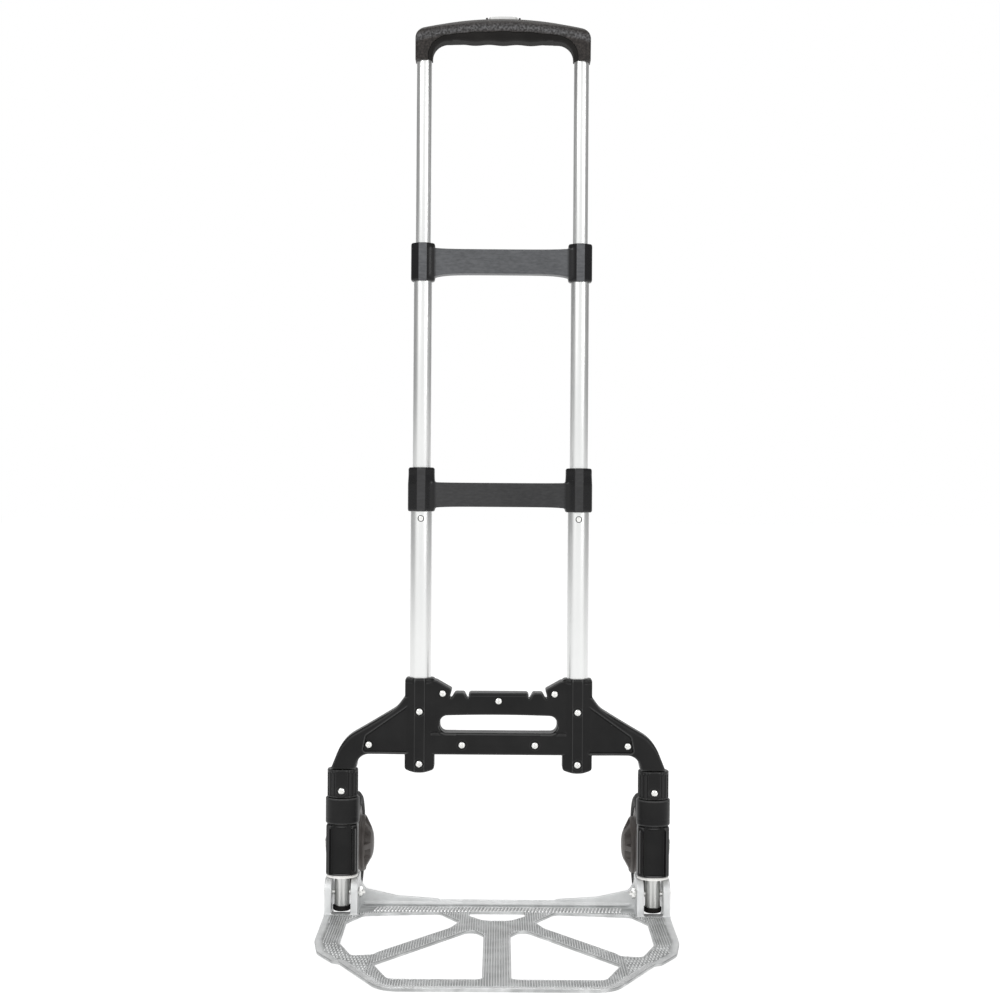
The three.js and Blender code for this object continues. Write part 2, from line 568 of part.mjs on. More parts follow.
// -- wheel bracket: swivels on the leg tube and carries the wheel on an arm outside it
const springRoom = windSpring.radius + windSpring.wire + windSpring.clearance;
const bearingBottom = ringTop - swivel.bearing;
const sleeveSection = bothSides([
  [swivel.panelHalfWidth, -swivel.panelDepth], [swivel.halfWidth, -swivel.sideHalfDepth],
  [swivel.halfWidth, swivel.sideHalfDepth], [swivel.panelHalfWidth, swivel.panelDepth],
]).map(([u, v]) => [legX + u, v]);
const swivelRing = uprightAt(legX, 0, [
  [0, sleeveTop - 0.5], [swivel.ringRadius - 3, sleeveTop - 0.5], [swivel.ringRadius, sleeveTop + swivel.neck],
  [swivel.ringRadius, ringTop - 1.5], [swivel.ringRadius - 1, ringTop], [0, ringTop],
]);
const swivelBore = uprightAt(legX, 0, [
  [0, sleeveBottom - 1], [springRoom, sleeveBottom - 1], [springRoom, bearingBottom - 3],
  [legTubeRadius + runGap, bearingBottom], [legTubeRadius + runGap, ringTop + 1], [0, ringTop + 1],
]);
const armReach = wheelArm.bossRadius;
const armRoot = 9;
const armOutline = filleted([
  [armRoot, sleeveBottom + 2], [swivel.ringRadius + 20, sleeveBottom + 3],
  [wheelY - 6, wheelZ - armReach - 2, armReach - 3], [wheelY + armReach, wheelZ - armReach, armReach - 2],
  [wheelY + armReach, wheelZ + armReach, armReach - 2], [wheelY - 12, wheelZ + armReach + 3, 20],
  [armRoot, sleeveTop - 2],
]);
const armWeb = side(armOutline, armInnerX, armOuterX);
const armGusset = box([legX + 4, armOuterX], [armRoot, swivel.panelDepth], [sleeveBottom + 2, sleeveTop - 2]);
const armBoss = alongX(wheelY, wheelZ, [
  [0, armOuterX - 1], [wheelArm.bossRadius, armOuterX - 1], [wheelArm.bossTipRadius, bossTipX], [0, bossTipX],
]);
const axleBore = alongX(wheelY, wheelZ, rod(axle.radius + seatGap, armInnerX - 1, bossTipX + 1), pinSides);
const bracket = join(plan(filleted(sleeveSection), sleeveBottom, sleeveTop), swivelRing, armWeb, armGusset, armBoss);
addPair('wheel_bracket', cut(bracket, swivelBore, axleBore), blackPlastic);
addPair('cam_ring', uprightAt(legX, 0, ring(camRing.radius, legTubeRadius + runGap, camBottom, camTop)), nylon);
addPair('swivel_spring', helix(legX, 0, sleeveBottom + 1, bearingBottom - 4, windSpring.radius,
  windSpring.wire, windSpring.turns), springSteel);

// -- wheel: a tyre on a domed rim, on an axle fixed in the bracket arm
const wheelX = (tyreInnerX + tyreOuterX) / 2;
const halfTyre = tyreWidth / 2;
const domeX = tyreInnerX - hubDome.height;
const axleEnd = domeX + 4.5;
addPair('axle', alongX(wheelY, wheelZ, [
  [0, axleEnd], [axle.radius, axleEnd], [axle.radius, bossTipX + seatGap], [axle.headRadius, bossTipX + seatGap],
  [axle.headRadius - 1.5, bossTipX + seatGap + axle.headHeight], [0, bossTipX + seatGap + axle.headHeight],
], pinSides), zincSteel);
const tread = [
  [rimRadius, wheelX - halfTyre + 1.5], [rimRadius + 5, wheelX - halfTyre], [wheelRadius - 5, wheelX - halfTyre],
  [wheelRadius, wheelX - halfTyre + 7], [wheelRadius, wheelX + halfTyre - 7], [wheelRadius - 5, wheelX + halfTyre],
  [rimRadius + 5, wheelX + halfTyre], [rimRadius, wheelX + halfTyre - 1.5], [rimRadius, wheelX - halfTyre + 1.5],
];
addPair('tyre', alongX(wheelY, wheelZ, tread, 36), rubber);
const rimEdge = rimRadius - seatGap;
const rimFace = tyreInnerX + 2;
const rimBack = tyreOuterX - 1.5;
addPair('rim', alongX(wheelY, wheelZ, [
  [0, domeX], [hubDome.tipRadius / 2, domeX], [hubDome.tipRadius, tyreInnerX - hubDome.tipHeight],
  [hubDome.neckRadius, tyreInnerX - hubDome.neckHeight], [hubDome.baseRadius, tyreInnerX - hubDome.baseHeight],
  [hubDome.baseRadius, rimFace], [rimEdge, rimFace], [rimEdge, rimBack],
  [rimEdge - 4, rimBack], [rimEdge - 5, wheelX + 4], [13, wheelX + 4], [12, tyreOuterX - 0.5],
  [axle.radius + runGap, tyreOuterX - 0.5], [axle.radius + runGap, axleEnd - 1.5], [0, axleEnd - 1.5],
], 24), hubPlastic);

// -- toe plate: a strapped tray with a rear flange and two clevises that hinge on the leg tubes
const plateSide = legX + plate.sideOverhang;
const plateFront = -plate.frontReach;
const strapInner = plateSide - plate.strap;
const cornerY = plateFront + plate.diagonalDrop;
const cornerX = plateSide - plate.diagonalInset;
const cornerRound = [30, 25, 6, 4];
const plateOutline = filleted(bothSides([
  [earInner[1], plate.rearReach], [earInner[1], -plate.slotFront, 5], [earOuter[0], -plate.slotFront, 5],
  [earOuter[0], plate.rearReach], [plateSide + 0.1, plate.rearReach], [plateSide + 0.1, -ear.front],
  ...plate.cornerRelief.map(([inside, behind], k) => [plateSide - inside, cornerY + behind, cornerRound[k]]),
  [cornerX - 2.6, plateFront, 30],
]));
const [hubX, hubY] = plate.hub;
const sideOpening = filleted([
  [strapInner, -42, 14], [strapInner - 16, -plate.bandFront - 6, 8], [strapInner - 59, -plate.bandFront - 0.5],
  [plate.bandInner, 3.5 - plate.bandFront, 8], [hubX - 5, hubY + 13, 7], [hubX + 5, hubY - 14, 12],
  [strapInner - 43, cornerY + 3, 6], [strapInner - 38, cornerY - 7.5, 6],
  [strapInner - 17, cornerY - 11.5, 6], [strapInner - 1, cornerY + 34, 15],
]);
const lipInner = plateFront + plate.lip;
const frontOpening = filleted([
  [strapInner - 41, cornerY - 38.3, 3], [plate.strutHalf + 12.8, hubY - 18.5, 8],
  [plate.strutHalf, hubY - 41, 10], [plate.strutHalf, lipInner, 6],
  [strapInner - 58.8, lipInner, 8], [strapInner - 47.3, cornerY - 57, 8],
]);
const centreOpening = filleted(bothSides([
  [plate.centreHalf, 6.5 - plate.bandFront, 3], [plate.centreHalf, -plate.centreSide, 6],
  [plate.strutHalf, -plate.centreFront, 14],
]));
const [sideWell, frontWell, centreWell] = [sideOpening, frontOpening, centreOpening]
  .map((opening) => plan(opening, -1, plate.thickness + 1));
const tray = cut(plan(plateOutline, 0, plate.thickness),
  sideWell, mirrored(sideWell), frontWell, mirrored(frontWell), centreWell);
const rearNear = plate.rearReach - plate.flangeThickness;
const flange = front(filleted(bothSides([
  [earInner[1], 0], [earInner[1], plate.flangeHigh, 3], [earInner[0] + 1, plate.flangeHigh, 3],
  [earInner[0] - 0.3, plate.flangeHigh - 12], [earInner[0] - 5.5, plate.flangeShoulder],
  [earInner[0] - 42, plate.flangeLow + 4.3], [plate.bandInner + 3, plate.flangeLow + 1.3],
  [plate.bandInner + 1, plate.flangeLow],
])), rearNear, plate.rearReach);
const earTop = pivotHeight + ear.radius;
const earOutline = (rearHeight) => filleted([
  [-ear.front, 0], [-ear.front, earTop, ear.front - 1], [9, earTop, 4], [plate.rearReach, rearHeight],
  [plate.rearReach, 0],
].reverse());
const ears = [
  side(earOutline(earTop), ...earInner), side(earOutline(ear.outerRear), ...earOuter),
];
const toePlate = join(tray, flange, ...ears, ...ears.map(mirrored));
add('toe_plate', cut(toePlate, pivotHole, mirrored(pivotHole)), castAluminium);

const headSeat = earOuter[1] + 0.1;
addPair('pivot_bolt', alongX(0, pivotHeight, [
  [0, earInner[0] - pivotBolt.tail], [pivotBolt.radius, earInner[0] - pivotBolt.tail], [pivotBolt.radius, headSeat],
  [pivotBolt.headRadius, headSeat], [pivotBolt.headRadius - 2.5, headSeat + pivotBolt.headHeight],
  [0, headSeat + pivotBolt.headHeight],
], pinSides), zincSteel);
const nutFace = earInner[0] - seatGap;
const nutRadius = pivotNut.acrossFlats / Math.sqrt(3);
const nutBore = alongX(0, pivotHeight, rod(pivotBolt.radius + seatGap, nutFace - 20, nutFace + 1), pinSides);
addPair('pivot_nut', cut(alongX(0, pivotHeight, rod(nutRadius, nutFace - pivotNut.thickness, nutFace), 6), nutBore),
  zincSteel);

export default truck;
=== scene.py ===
# %% [markdown]
# # A folding hand truck
# The truck is an aluminium and moulded-plastic cart: three tubes slide into each other on each side,
# a two-shell frame holds them, and an open cast toe plate folds up while the wheels swing in.
# The mechanical model is already there as a fixed frame of plain solids. This lesson makes the
# surfaces that are seen: each one is a formula worked out with numpy on a whole grid at once.

# %% Load the frame
import functools
import json
import math

import bmesh
import bpy
import numpy as np
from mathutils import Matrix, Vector


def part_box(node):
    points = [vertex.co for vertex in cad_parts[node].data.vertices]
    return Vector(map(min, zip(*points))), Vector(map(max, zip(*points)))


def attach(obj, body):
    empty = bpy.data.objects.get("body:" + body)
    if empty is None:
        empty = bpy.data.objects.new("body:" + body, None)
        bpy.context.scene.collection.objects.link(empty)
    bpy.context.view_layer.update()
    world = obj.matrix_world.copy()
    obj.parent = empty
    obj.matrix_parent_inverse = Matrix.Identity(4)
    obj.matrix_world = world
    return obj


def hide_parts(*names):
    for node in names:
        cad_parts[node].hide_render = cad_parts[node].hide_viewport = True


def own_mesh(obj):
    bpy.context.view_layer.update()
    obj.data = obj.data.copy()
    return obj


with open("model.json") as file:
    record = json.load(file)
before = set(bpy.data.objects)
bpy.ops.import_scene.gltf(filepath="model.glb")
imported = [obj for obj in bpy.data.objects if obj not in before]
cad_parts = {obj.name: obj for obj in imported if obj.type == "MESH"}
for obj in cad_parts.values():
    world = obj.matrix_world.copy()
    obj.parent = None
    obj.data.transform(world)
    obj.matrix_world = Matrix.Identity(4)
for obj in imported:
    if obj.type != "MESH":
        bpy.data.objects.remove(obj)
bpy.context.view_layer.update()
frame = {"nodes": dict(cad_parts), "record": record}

MM = 0.001

# %% [markdown]
# Every size is read from the frame in millimetres, so a piece lands where its solid is.

# %% Measure the frame
def span(node):
    """The lowest and the highest corner of a node, in millimetres."""
    low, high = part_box(node)
    return np.array(low) / MM, np.array(high) / MM


def middle(node):
    """The centre of a node's box, in millimetres."""
    low, high = span(node)
    return (low + high) / 2


def radius_of(node):
    """Half of a node's width along X: the radius of an upright tube or ring."""
    low, high = span(node)
    return (high[0] - low[0]) / 2


SIDES = {"left": -1, "right": 1}
tube_x = middle("lower_tube_right")[0]
leg_x = middle("leg_tube_right")[0]
wheel_y, wheel_z = middle("tyre_right")[1:]
wheel_radius = (span("tyre_right")[1][2] - span("tyre_right")[0][2]) / 2
print("tubes at x = +-%.2f, legs at +-%.2f, wheels of radius %.1f mm" % (tube_x, leg_x, wheel_radius))

# %% [markdown]
# ## The camera
# The truck is seen straight from the front, from the middle of its height. A long lens keeps the
# uprights parallel, and the camera is rolled by less than half a degree.

# %% Camera
camera = bpy.data.objects.new("camera", bpy.data.cameras.new("camera"))
bpy.context.scene.collection.objects.link(camera)
camera.data.sensor_width = 36
camera.data.lens = 57.9
camera.location = (0, -1.788, 0.462)
camera.rotation_euler = (math.radians(90), math.radians(-0.4), 0)
bpy.context.scene.camera = camera
print("camera at", tuple(camera.location))

# %% [markdown]
# ## Shader maths as expressions
# A small class wraps an output socket. Adding or multiplying two of them adds Math nodes, so a
# finish reads like the formula that it is.

# %% Wires and finishes
class Wire:
    """An output socket that can stand in an expression."""

    def __init__(self, finish, socket):
        """The finish that owns the node, and the node's socket."""
        self.finish = finish
        self.socket = socket

    def _math(self, operation, a, b):
        """A Math node of the same finish; a and b are numbers or wires."""
        return self.finish.node("ShaderNodeMath", {"operation": operation}, {0: a, 1: b})

    def __add__(self, other):
        return self._math("ADD", self, other)

    def __sub__(self, other):
        return self._math("SUBTRACT", self, other)

    def __rsub__(self, other):
        return self._math("SUBTRACT", other, self)

    def __mul__(self, other):
        return self._math("MULTIPLY", self, other)

    def __abs__(self):
        return self._math("ABSOLUTE", self, 0)

    def or_more(self, other):
        """The larger of the two values."""
        return self._math("MAXIMUM", self, other)

    __radd__ = __add__
    __rmul__ = __mul__


class Finish:
    """A material: its Principled shader, and one method that makes any other node."""

    def __init__(self, name, **constants):
        """Constants are named after the shader's sockets, with _ for a space."""
        self.material = bpy.data.materials.new(name)
        self.material.use_nodes = True
        self.tree = self.material.node_tree
        self.shader = self.tree.nodes["Principled BSDF"]
        for socket, value in constants.items():
            self.shader.inputs[socket.replace("_", " ")].default_value = value

    def node(self, kind, settings, inputs, output=0):
        """Makes a node, applies its settings, then feeds its sockets with values or wires."""
        made = self.tree.nodes.new(kind)
        for key, value in settings.items():
            setattr(made, key, value)
        for key, value in inputs.items():
            self.feed(made.inputs[key], value)
        return Wire(self, made.outputs[output])

    def feed(self, socket, value):
        """Links a wire to the socket, or writes a plain value there."""
        if isinstance(value, Wire):
            self.tree.links.new(value.socket, socket)
        else:
            socket.default_value = value

    def place(self, stretch=(1, 1, 1)):
        """Object coordinates in metres, stretched along each axis."""
        where = self.node("ShaderNodeTexCoord", {}, {}, "Object")
        return self.node("ShaderNodeMapping", {}, {"Vector": where, "Scale": stretch}, "Vector")

    def noise(self, scale, detail=3.0, stretch=(1, 1, 1)):
        """Cloudy values from 0 to 1; scale counts the clouds in a metre."""
        inputs = {"Vector": self.place(stretch), "Scale": scale, "Detail": detail}
        return self.node("ShaderNodeTexNoise", {}, inputs, "Fac")

    def coordinate(self, axis):
        """The object coordinate in metres along one axis: 0 is x, 1 is y and 2 is z."""
        return self.node("ShaderNodeSeparateXYZ", {}, {0: self.place()}, axis)

    def mixed(self, factor, first, second):
        """The first colour where factor is 0 and the second where it is 1."""
        return self.node("ShaderNodeMix", {"data_type": "RGBA"}, {0: factor, 6: first, 7: second}, 2)

    def between(self, low, high, factor):
        """A colour that goes from low to high as factor goes from 0 to 1."""
        return self.mixed(factor, (*low, 1), (*high, 1))

    def spread(self, value, low, high):
        """Stretches the stretch of value between low and high to 0 to 1, and clamps it."""
        inputs = {"Value": value, "From Min": low, "From Max": high}
        return self.node("ShaderNodeMapRange", {"clamp": True}, inputs)

    def paint(self, **wires):
        """Feeds what changes over the surface to the shader's sockets."""
        for socket, value in wires.items():
            self.feed(self.shader.inputs[socket.replace("_", " ")], value)

    def bump(self, height, depth_mm, strength=1.0):
        """Raises the surface by height times depth_mm."""
        inputs = {"Height": height, "Distance": depth_mm * MM, "Strength": strength}
        self.paint(Normal=self.node("ShaderNodeBump", {}, inputs, "Normal"))


# %% [markdown]
# ## Finishes
# Moulded plastic gets its look from spark erosion on the mould: a very fine grain that scatters
# the gloss. The colour hardly changes, but handling polishes it in soft patches.

# %% Moulded plastics
def moulded(name, low, high, rough, grain=1500, depth=0.03, coat=0.0, gloss=0.22, edge_highlight=0.0):
    """Plastic with a fine mould grain: base colour from low to high, roughness rough +- 0.08.
    On sharp outer edges the black is painted grey, by the share given last: a painted highlight where the
    edges catch the light."""
    finish = Finish(name, Specular_IOR_Level=gloss, Coat_Weight=coat)
    cloud = finish.noise(28, 4)
    grains = finish.noise(grain, 2)
    tone = finish.between(low, high, finish.spread(cloud, 0.35, 0.65))
    if edge_highlight:
        # Painted highlight: sharp outer edges, found by their pointiness, are painted grey as if they caught
        # the light.
        edge = finish.spread(finish.node("ShaderNodeNewGeometry", {}, {}, "Pointiness"), 0.508, 0.575)
        tone = finish.mixed(edge * edge_highlight, tone, (0.13, 0.13, 0.13, 1))
    finish.paint(Base_Color=tone, Roughness=cloud * 0.16 + (rough - 0.08) + grains * 0.05)
    finish.bump(grains, depth)
    return finish.material


# The frame, collars and brackets get the painted edge highlight.
frame_black = moulded("frame_black", (0.005, 0.005, 0.0052), (0.0095, 0.0095, 0.0095), 0.36,
                      gloss=0.2, edge_highlight=0.85)
grip_rubber = moulded("grip_rubber", (0.009, 0.0082, 0.0078), (0.016, 0.015, 0.014), 0.62, 700, 0.12,
                      gloss=0.12)
hub_grey = moulded("hub_grey", (0.06, 0.052, 0.048), (0.1, 0.088, 0.08), 0.45, gloss=0.4)
button_silver = moulded("button_silver", (0.62, 0.62, 0.61), (0.72, 0.72, 0.71), 0.3, 2000, 0.01, 0.3, 0.5)
nylon_white = moulded("nylon_white", (0.82, 0.81, 0.78), (0.9, 0.89, 0.87), 0.42, 1200, 0.02)


def palm_rubbed():
    """The handle's band: speckled brown-black, with a painted highlight in grey along an arch of height
    z + 1.25 x x, in metres, that stays the same from the middle of the grip down to the legs."""
    finish = Finish("handle_skin", Specular_IOR_Level=0.25)
    speckle = finish.noise(420, 3)
    x = finish.coordinate(0)
    arch = finish.coordinate(2) + x * x * 1.25
    crest = (span("handle_grip")[0][2] + 13) * MM
    above = finish.spread(arch, crest + 1.5 * MM, crest + 7 * MM)
    # Painted highlight: the lower edge of the band, just above the wavy line, is painted grey as if lit.
    highlight_band = finish.spread(arch, crest - 4 * MM, crest) * (1 - above)
    grey = finish.between((0.03, 0.029, 0.029), (0.15, 0.15, 0.155), finish.spread(speckle, 0.4, 0.66))
    brown = finish.between((0.014, 0.012, 0.011), (0.04, 0.034, 0.031), finish.spread(speckle, 0.42, 0.68))
    finish.paint(Base_Color=finish.mixed(highlight_band * 0.85, brown, grey), Roughness=speckle * 0.2 + 0.4)
    finish.bump(speckle, 0.25)
    return finish.material


handle_skin = palm_rubbed()
print("plastics:", len(bpy.data.materials))

# %% [markdown]
# The tubes are drawn through a die, which leaves hair-fine lines along them, and anodised, which
# makes them satin. Long thin noise in the roughness and the bump gives both.

# %% Metals
def drawn_tube(name, dark, light):
    """Anodised aluminium: noise stretched 60 times along Z is the drawing lines."""
    finish = Finish(name, Metallic=1.0, Coat_Weight=0.15, Coat_Roughness=0.35)
    lines = finish.noise(900, 2, (1, 1, 1 / 60))
    cloud = finish.noise(14, 3)
    finish.paint(
        Base_Color=finish.between(dark, light, cloud),
        Roughness=lines * 0.12 + cloud * 0.06 + 0.22,
    )
    finish.bump(lines, 0.012)
    return finish.material


def cast_plate(name, dark, light, shade_below=None):
    """Tumbled aluminium casting: a fine grain, with a mottled gloss from the tumbling stones.
    Below the height given last, in millimetres, the hollows between the ribs are painted darker in patches:
    painted shade in the grooves."""
    finish = Finish(name, Metallic=0.6)
    grain = finish.noise(1100, 3)
    mottle = finish.noise(60, 5)
    pits = finish.spread(finish.noise(320, 2), 0.68, 0.76)
    tone = finish.between(dark, light, finish.spread(mottle, 0.3, 0.7))
    if shade_below:
        # Painted shade: the floor between the ribs, below the given height, is darkened in noisy patches
        # where the grooves are shaded.
        height = finish.spread(finish.coordinate(2), (shade_below - 0.45) * MM, shade_below * MM)
        groove_shade = (1 - height) * finish.spread(finish.noise(45, 4), 0.2, 0.6)
        tone = finish.mixed(groove_shade * 0.6, tone, (0.2, 0.205, 0.205, 1))
    finish.paint(Base_Color=tone, Roughness=mottle * 0.16 + grain * 0.08 + 0.34)
    finish.bump(grain - pits * 1.5, 0.05)
    return finish.material


def plated(name, low, high, rough):
    """Zinc-plated or bare steel: fine turning marks and a slightly cloudy plating."""
    finish = Finish(name, Metallic=1.0)
    cloud = finish.noise(220, 4)
    finish.paint(
        Base_Color=finish.between(low, high, cloud),
        Roughness=cloud * 0.15 + rough,
    )
    finish.bump(finish.noise(2600, 2), 0.01)
    return finish.material


def rubber():
    """Tyre rubber: matt, dusty where the noise is high."""
    finish = Finish("tyre_rubber", Specular_IOR_Level=0.3)
    dust = finish.spread(finish.noise(70, 5), 0.45, 0.8)
    finish.paint(
        Base_Color=finish.between((0.011, 0.011, 0.011), (0.03, 0.029, 0.028), dust),
        Roughness=dust * 0.15 + 0.68,
    )
    finish.bump(finish.noise(1400, 3), 0.06)
    return finish.material


tube_aluminium = drawn_tube("tube_aluminium", (0.76, 0.77, 0.765), (0.86, 0.865, 0.855))
leg_aluminium = drawn_tube("leg_aluminium", (0.6, 0.6, 0.585), (0.7, 0.7, 0.685))
cast_aluminium = cast_plate("cast_aluminium", (0.66, 0.67, 0.67), (0.8, 0.81, 0.81))
# The ribbed tray gets painted shade in the grooves between its ribs, below 3.6 mm.
ribbed_aluminium = cast_plate("ribbed_aluminium", (0.66, 0.67, 0.67), (0.8, 0.81, 0.81), shade_below=3.6)
# A lighter copy of the cast finish, which paints the slanted bars brighter than the plate.
bright_bar_aluminium = cast_plate("bright_bar_aluminium", (0.9, 0.9, 0.9), (0.97, 0.97, 0.97))
zinc = plated("bright_zinc", (0.8, 0.8, 0.78), (0.92, 0.92, 0.9), 0.2)
spring_steel = plated("spring_steel", (0.3, 0.3, 0.31), (0.42, 0.42, 0.43), 0.3)
tyre_rubber = rubber()
print("finishes:", len(bpy.data.materials))

# %% [markdown]
# ## Three ways to make a surface
# 1. A grid of points, row by row, joined by four-sided faces. Tubes, tyres and rings come from it.
# 2. A profile turned round an axis, which is such a grid.
# 3. A skin: a formula gives the distance of any point to the piece, negative inside. It is
#    sampled on a grid of cells, and each cell that the surface crosses gets one point, at the
#    average of its crossings. Mouldings with blends and recesses are easiest this way.

# %% Put a surface on a body
def put(name, points, faces, material, body, stands_for=(), slot=None, sharp=38, weld=True):
    """Points in millimetres and faces as rows of point numbers become a piece that rides on body.
    Welding joins points that meet, as at the poles of a turned profile."""
    mesh = bpy.data.meshes.new(name)
    mesh.from_pydata(np.asarray(points) * MM, [], np.asarray(faces))
    if weld:
        bm = bmesh.new()
        bm.from_mesh(mesh)
        bmesh.ops.remove_doubles(bm, verts=bm.verts, dist=1e-7)
        bmesh.ops.recalc_face_normals(bm, faces=bm.faces)
        bm.to_mesh(mesh)
        bm.free()
    mesh.shade_smooth()
    mesh.set_sharp_from_angle(angle=math.radians(sharp))
    mesh.materials.append(material)
    piece = bpy.data.objects.new(name, mesh)
    bpy.context.scene.collection.objects.link(piece)
    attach(piece, body)
    if stands_for:
        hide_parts(*stands_for)
    return piece


def weave(rows, columns, wrap_rows=False, wrap_columns=True):
    """Faces of a grid of points numbered row by row; a wrapped direction joins its last to its first."""
    r = np.arange(rows if wrap_rows else rows - 1)
    c = np.arange(columns if wrap_columns else columns - 1)
    r, c = np.meshgrid(r, c, indexing="ij")
    r2, c2 = (r + 1) % rows, (c + 1) % columns
    corners = [r * columns + c, r * columns + c2, r2 * columns + c2, r2 * columns + c]
    return np.stack(corners, -1).reshape(-1, 4)


AXES = {"x": ((0, 1, 0), (0, 0, 1), (1, 0, 0)), "y": ((0, 0, 1), (1, 0, 0), (0, 1, 0)),
        "z": ((1, 0, 0), (0, 1, 0), (0, 0, 1))}


def turned(profile, centre, axis="z", segments=64, shape=None):
    """Place k of the profile at angle a: centre + r_k (cos a, sin a) across the axis + h_k along it.
    shape(a, r, h) may change r and h over the angle. A profile off the axis closes on itself."""
    r, h = np.asarray(profile, float).T
    a = np.linspace(0, 2 * np.pi, segments, endpoint=False)
    a, r, h = np.broadcast_arrays(a[None, :], r[:, None], h[:, None])
    if shape:
        r, h = shape(a, r, h)
    across, up, along = (np.array(v, float) for v in AXES[axis])
    ring = r[..., None] * (np.cos(a)[..., None] * across + np.sin(a)[..., None] * up)
    points = np.asarray(centre, float) + ring + h[..., None] * along
    closed = profile[0][0] > 0
    return points.reshape(-1, 3), weave(len(profile), segments, wrap_rows=closed)


def softened(profile, radius, steps=4, closed=True):
    """Rounds the corners of a profile: each becomes steps points on a parabola that is tangent to
    both of its sides, starting at most radius from the corner."""
    p = np.asarray(profile, float)
    before, after = np.roll(p, 1, 0) - p, np.roll(p, -1, 0) - p
    reach_b = np.minimum(radius / np.linalg.norm(before, axis=1), 0.48)[:, None]
    reach_a = np.minimum(radius / np.linalg.norm(after, axis=1), 0.48)[:, None]
    t = np.linspace(0, 1, steps)[None, :, None]
    start, end = (p + before * reach_b)[:, None], (p + after * reach_a)[:, None]
    curve = (1 - t) ** 2 * start + 2 * t * (1 - t) * p[:, None] + t**2 * end
    if closed:
        return curve.reshape(-1, 2)
    return np.vstack([p[:1], curve[1:-1].reshape(-1, 2), p[-1:]])


# %% [markdown]
# The distance formulas below all work on whole grids. `u`, `v` and `w` are open grids, so a
# formula that needs only two of them is worked out in two dimensions and spreads over the third.

# %% Distance formulas
def larger(*distances):
    """What lies inside all of the shapes: the largest of their distances."""
    return functools.reduce(np.maximum, distances)


def block(u, v, w, centre, half, soft=0.0):
    """Distance to a box with edges rounded by soft: outside it is the length of what sticks out."""
    q = [np.abs(g - c) - (s - soft) for g, c, s in zip((u, v, w), centre, half)]
    outside = np.sqrt(sum(np.maximum(g, 0) ** 2 for g in q))
    return outside + np.minimum(larger(*q), 0) - soft


def drum(u, v, w, radius, low, high, soft=0.0):
    """Distance to a cylinder of that radius round the w axis, from low to high."""
    return thick(np.hypot(u, v) - radius, w, low, high, soft)


def rounded(a, b, soft):
    """What lies inside both shapes, with the edge between them rounded by soft."""
    a, b = a + soft, b + soft
    return np.minimum(np.maximum(a, b), 0) + np.hypot(np.maximum(a, 0), np.maximum(b, 0)) - soft


def thick(flat, w, low, high, soft=0.0):
    """A flat distance given a thickness along w, with its edges rounded by soft."""
    return rounded(flat, np.abs(w - (low + high) / 2) - (high - low) / 2, soft)


def outline(u, v, corners):
    """Distance to a closed outline: to its nearest side, negative where a ray crosses it oddly."""
    a = np.asarray(corners, float)
    b = np.roll(a, -1, 0)
    e = b - a
    du, dv = u[..., None] - a[:, 0], v[..., None] - a[:, 1]
    t = np.clip((du * e[:, 0] + dv * e[:, 1]) / (e**2).sum(1), 0, 1)
    away = np.sqrt(((du - t * e[:, 0]) ** 2 + (dv - t * e[:, 1]) ** 2).min(-1))
    steep = np.where(np.abs(e[:, 1]) < 1e-9, 1e-9, e[:, 1])
    crosses = ((a[:, 1] > v[..., None]) != (b[:, 1] > v[..., None])) & (du < e[:, 0] * dv / steep)
    return np.where(crosses.sum(-1) % 2 == 1, -away, away)


def ramp(value, start, width=1.0):
    """Rises from 0 at start to 1 at start + width; a negative width makes it fall."""
    return np.clip((value - start) / width, 0, 1)


def tent(value, width):
    """1 where value is 0, falling to 0 at width on either side."""
    return np.clip(1 - np.abs(value) / width, 0, 1)


def melt(a, b, blend):
    """Joins two distances with a fillet about blend wide."""
    h = np.maximum(blend - np.abs(a - b), 0) / blend
    return np.minimum(a, b) - h * h * blend / 4


def carve(a, b, blend=0.01):
    """Takes b out of a, with the edge softened over blend."""
    return -melt(-a, b, blend)


def arcs(corners, step=0.3):
    """Corners (u, v, radius) with each rounded into an arc of that radius."""
    out = []
    for i, (u, v, radius) in enumerate(corners):
        here = np.array((u, v), float)
        to_b = np.array(corners[i - 1][:2]) - here
        to_a = np.array(corners[(i + 1) % len(corners)][:2]) - here
        to_b, to_a = to_b / np.linalg.norm(to_b), to_a / np.linalg.norm(to_a)
        straight = np.linalg.norm(to_b + to_a) < 0.01
        if radius == 0 or straight:
            out.append(here)
            continue
        half = math.acos(np.clip(to_b @ to_a, -1, 1)) / 2
        centre = here + (to_b + to_a) / np.linalg.norm(to_b + to_a) * radius / math.sin(half)
        start = here + to_b * radius / math.tan(half) - centre
        turn = -math.copysign(math.pi - 2 * half, to_b[0] * to_a[1] - to_b[1] * to_a[0])
        angles = np.linspace(0, turn, max(2, round(abs(turn) / step)))
        c, s = np.cos(angles), np.sin(angles)
        out.extend(centre + np.stack([c * start[0] - s * start[1], s * start[0] + c * start[1]], 1))
    return np.array(out)


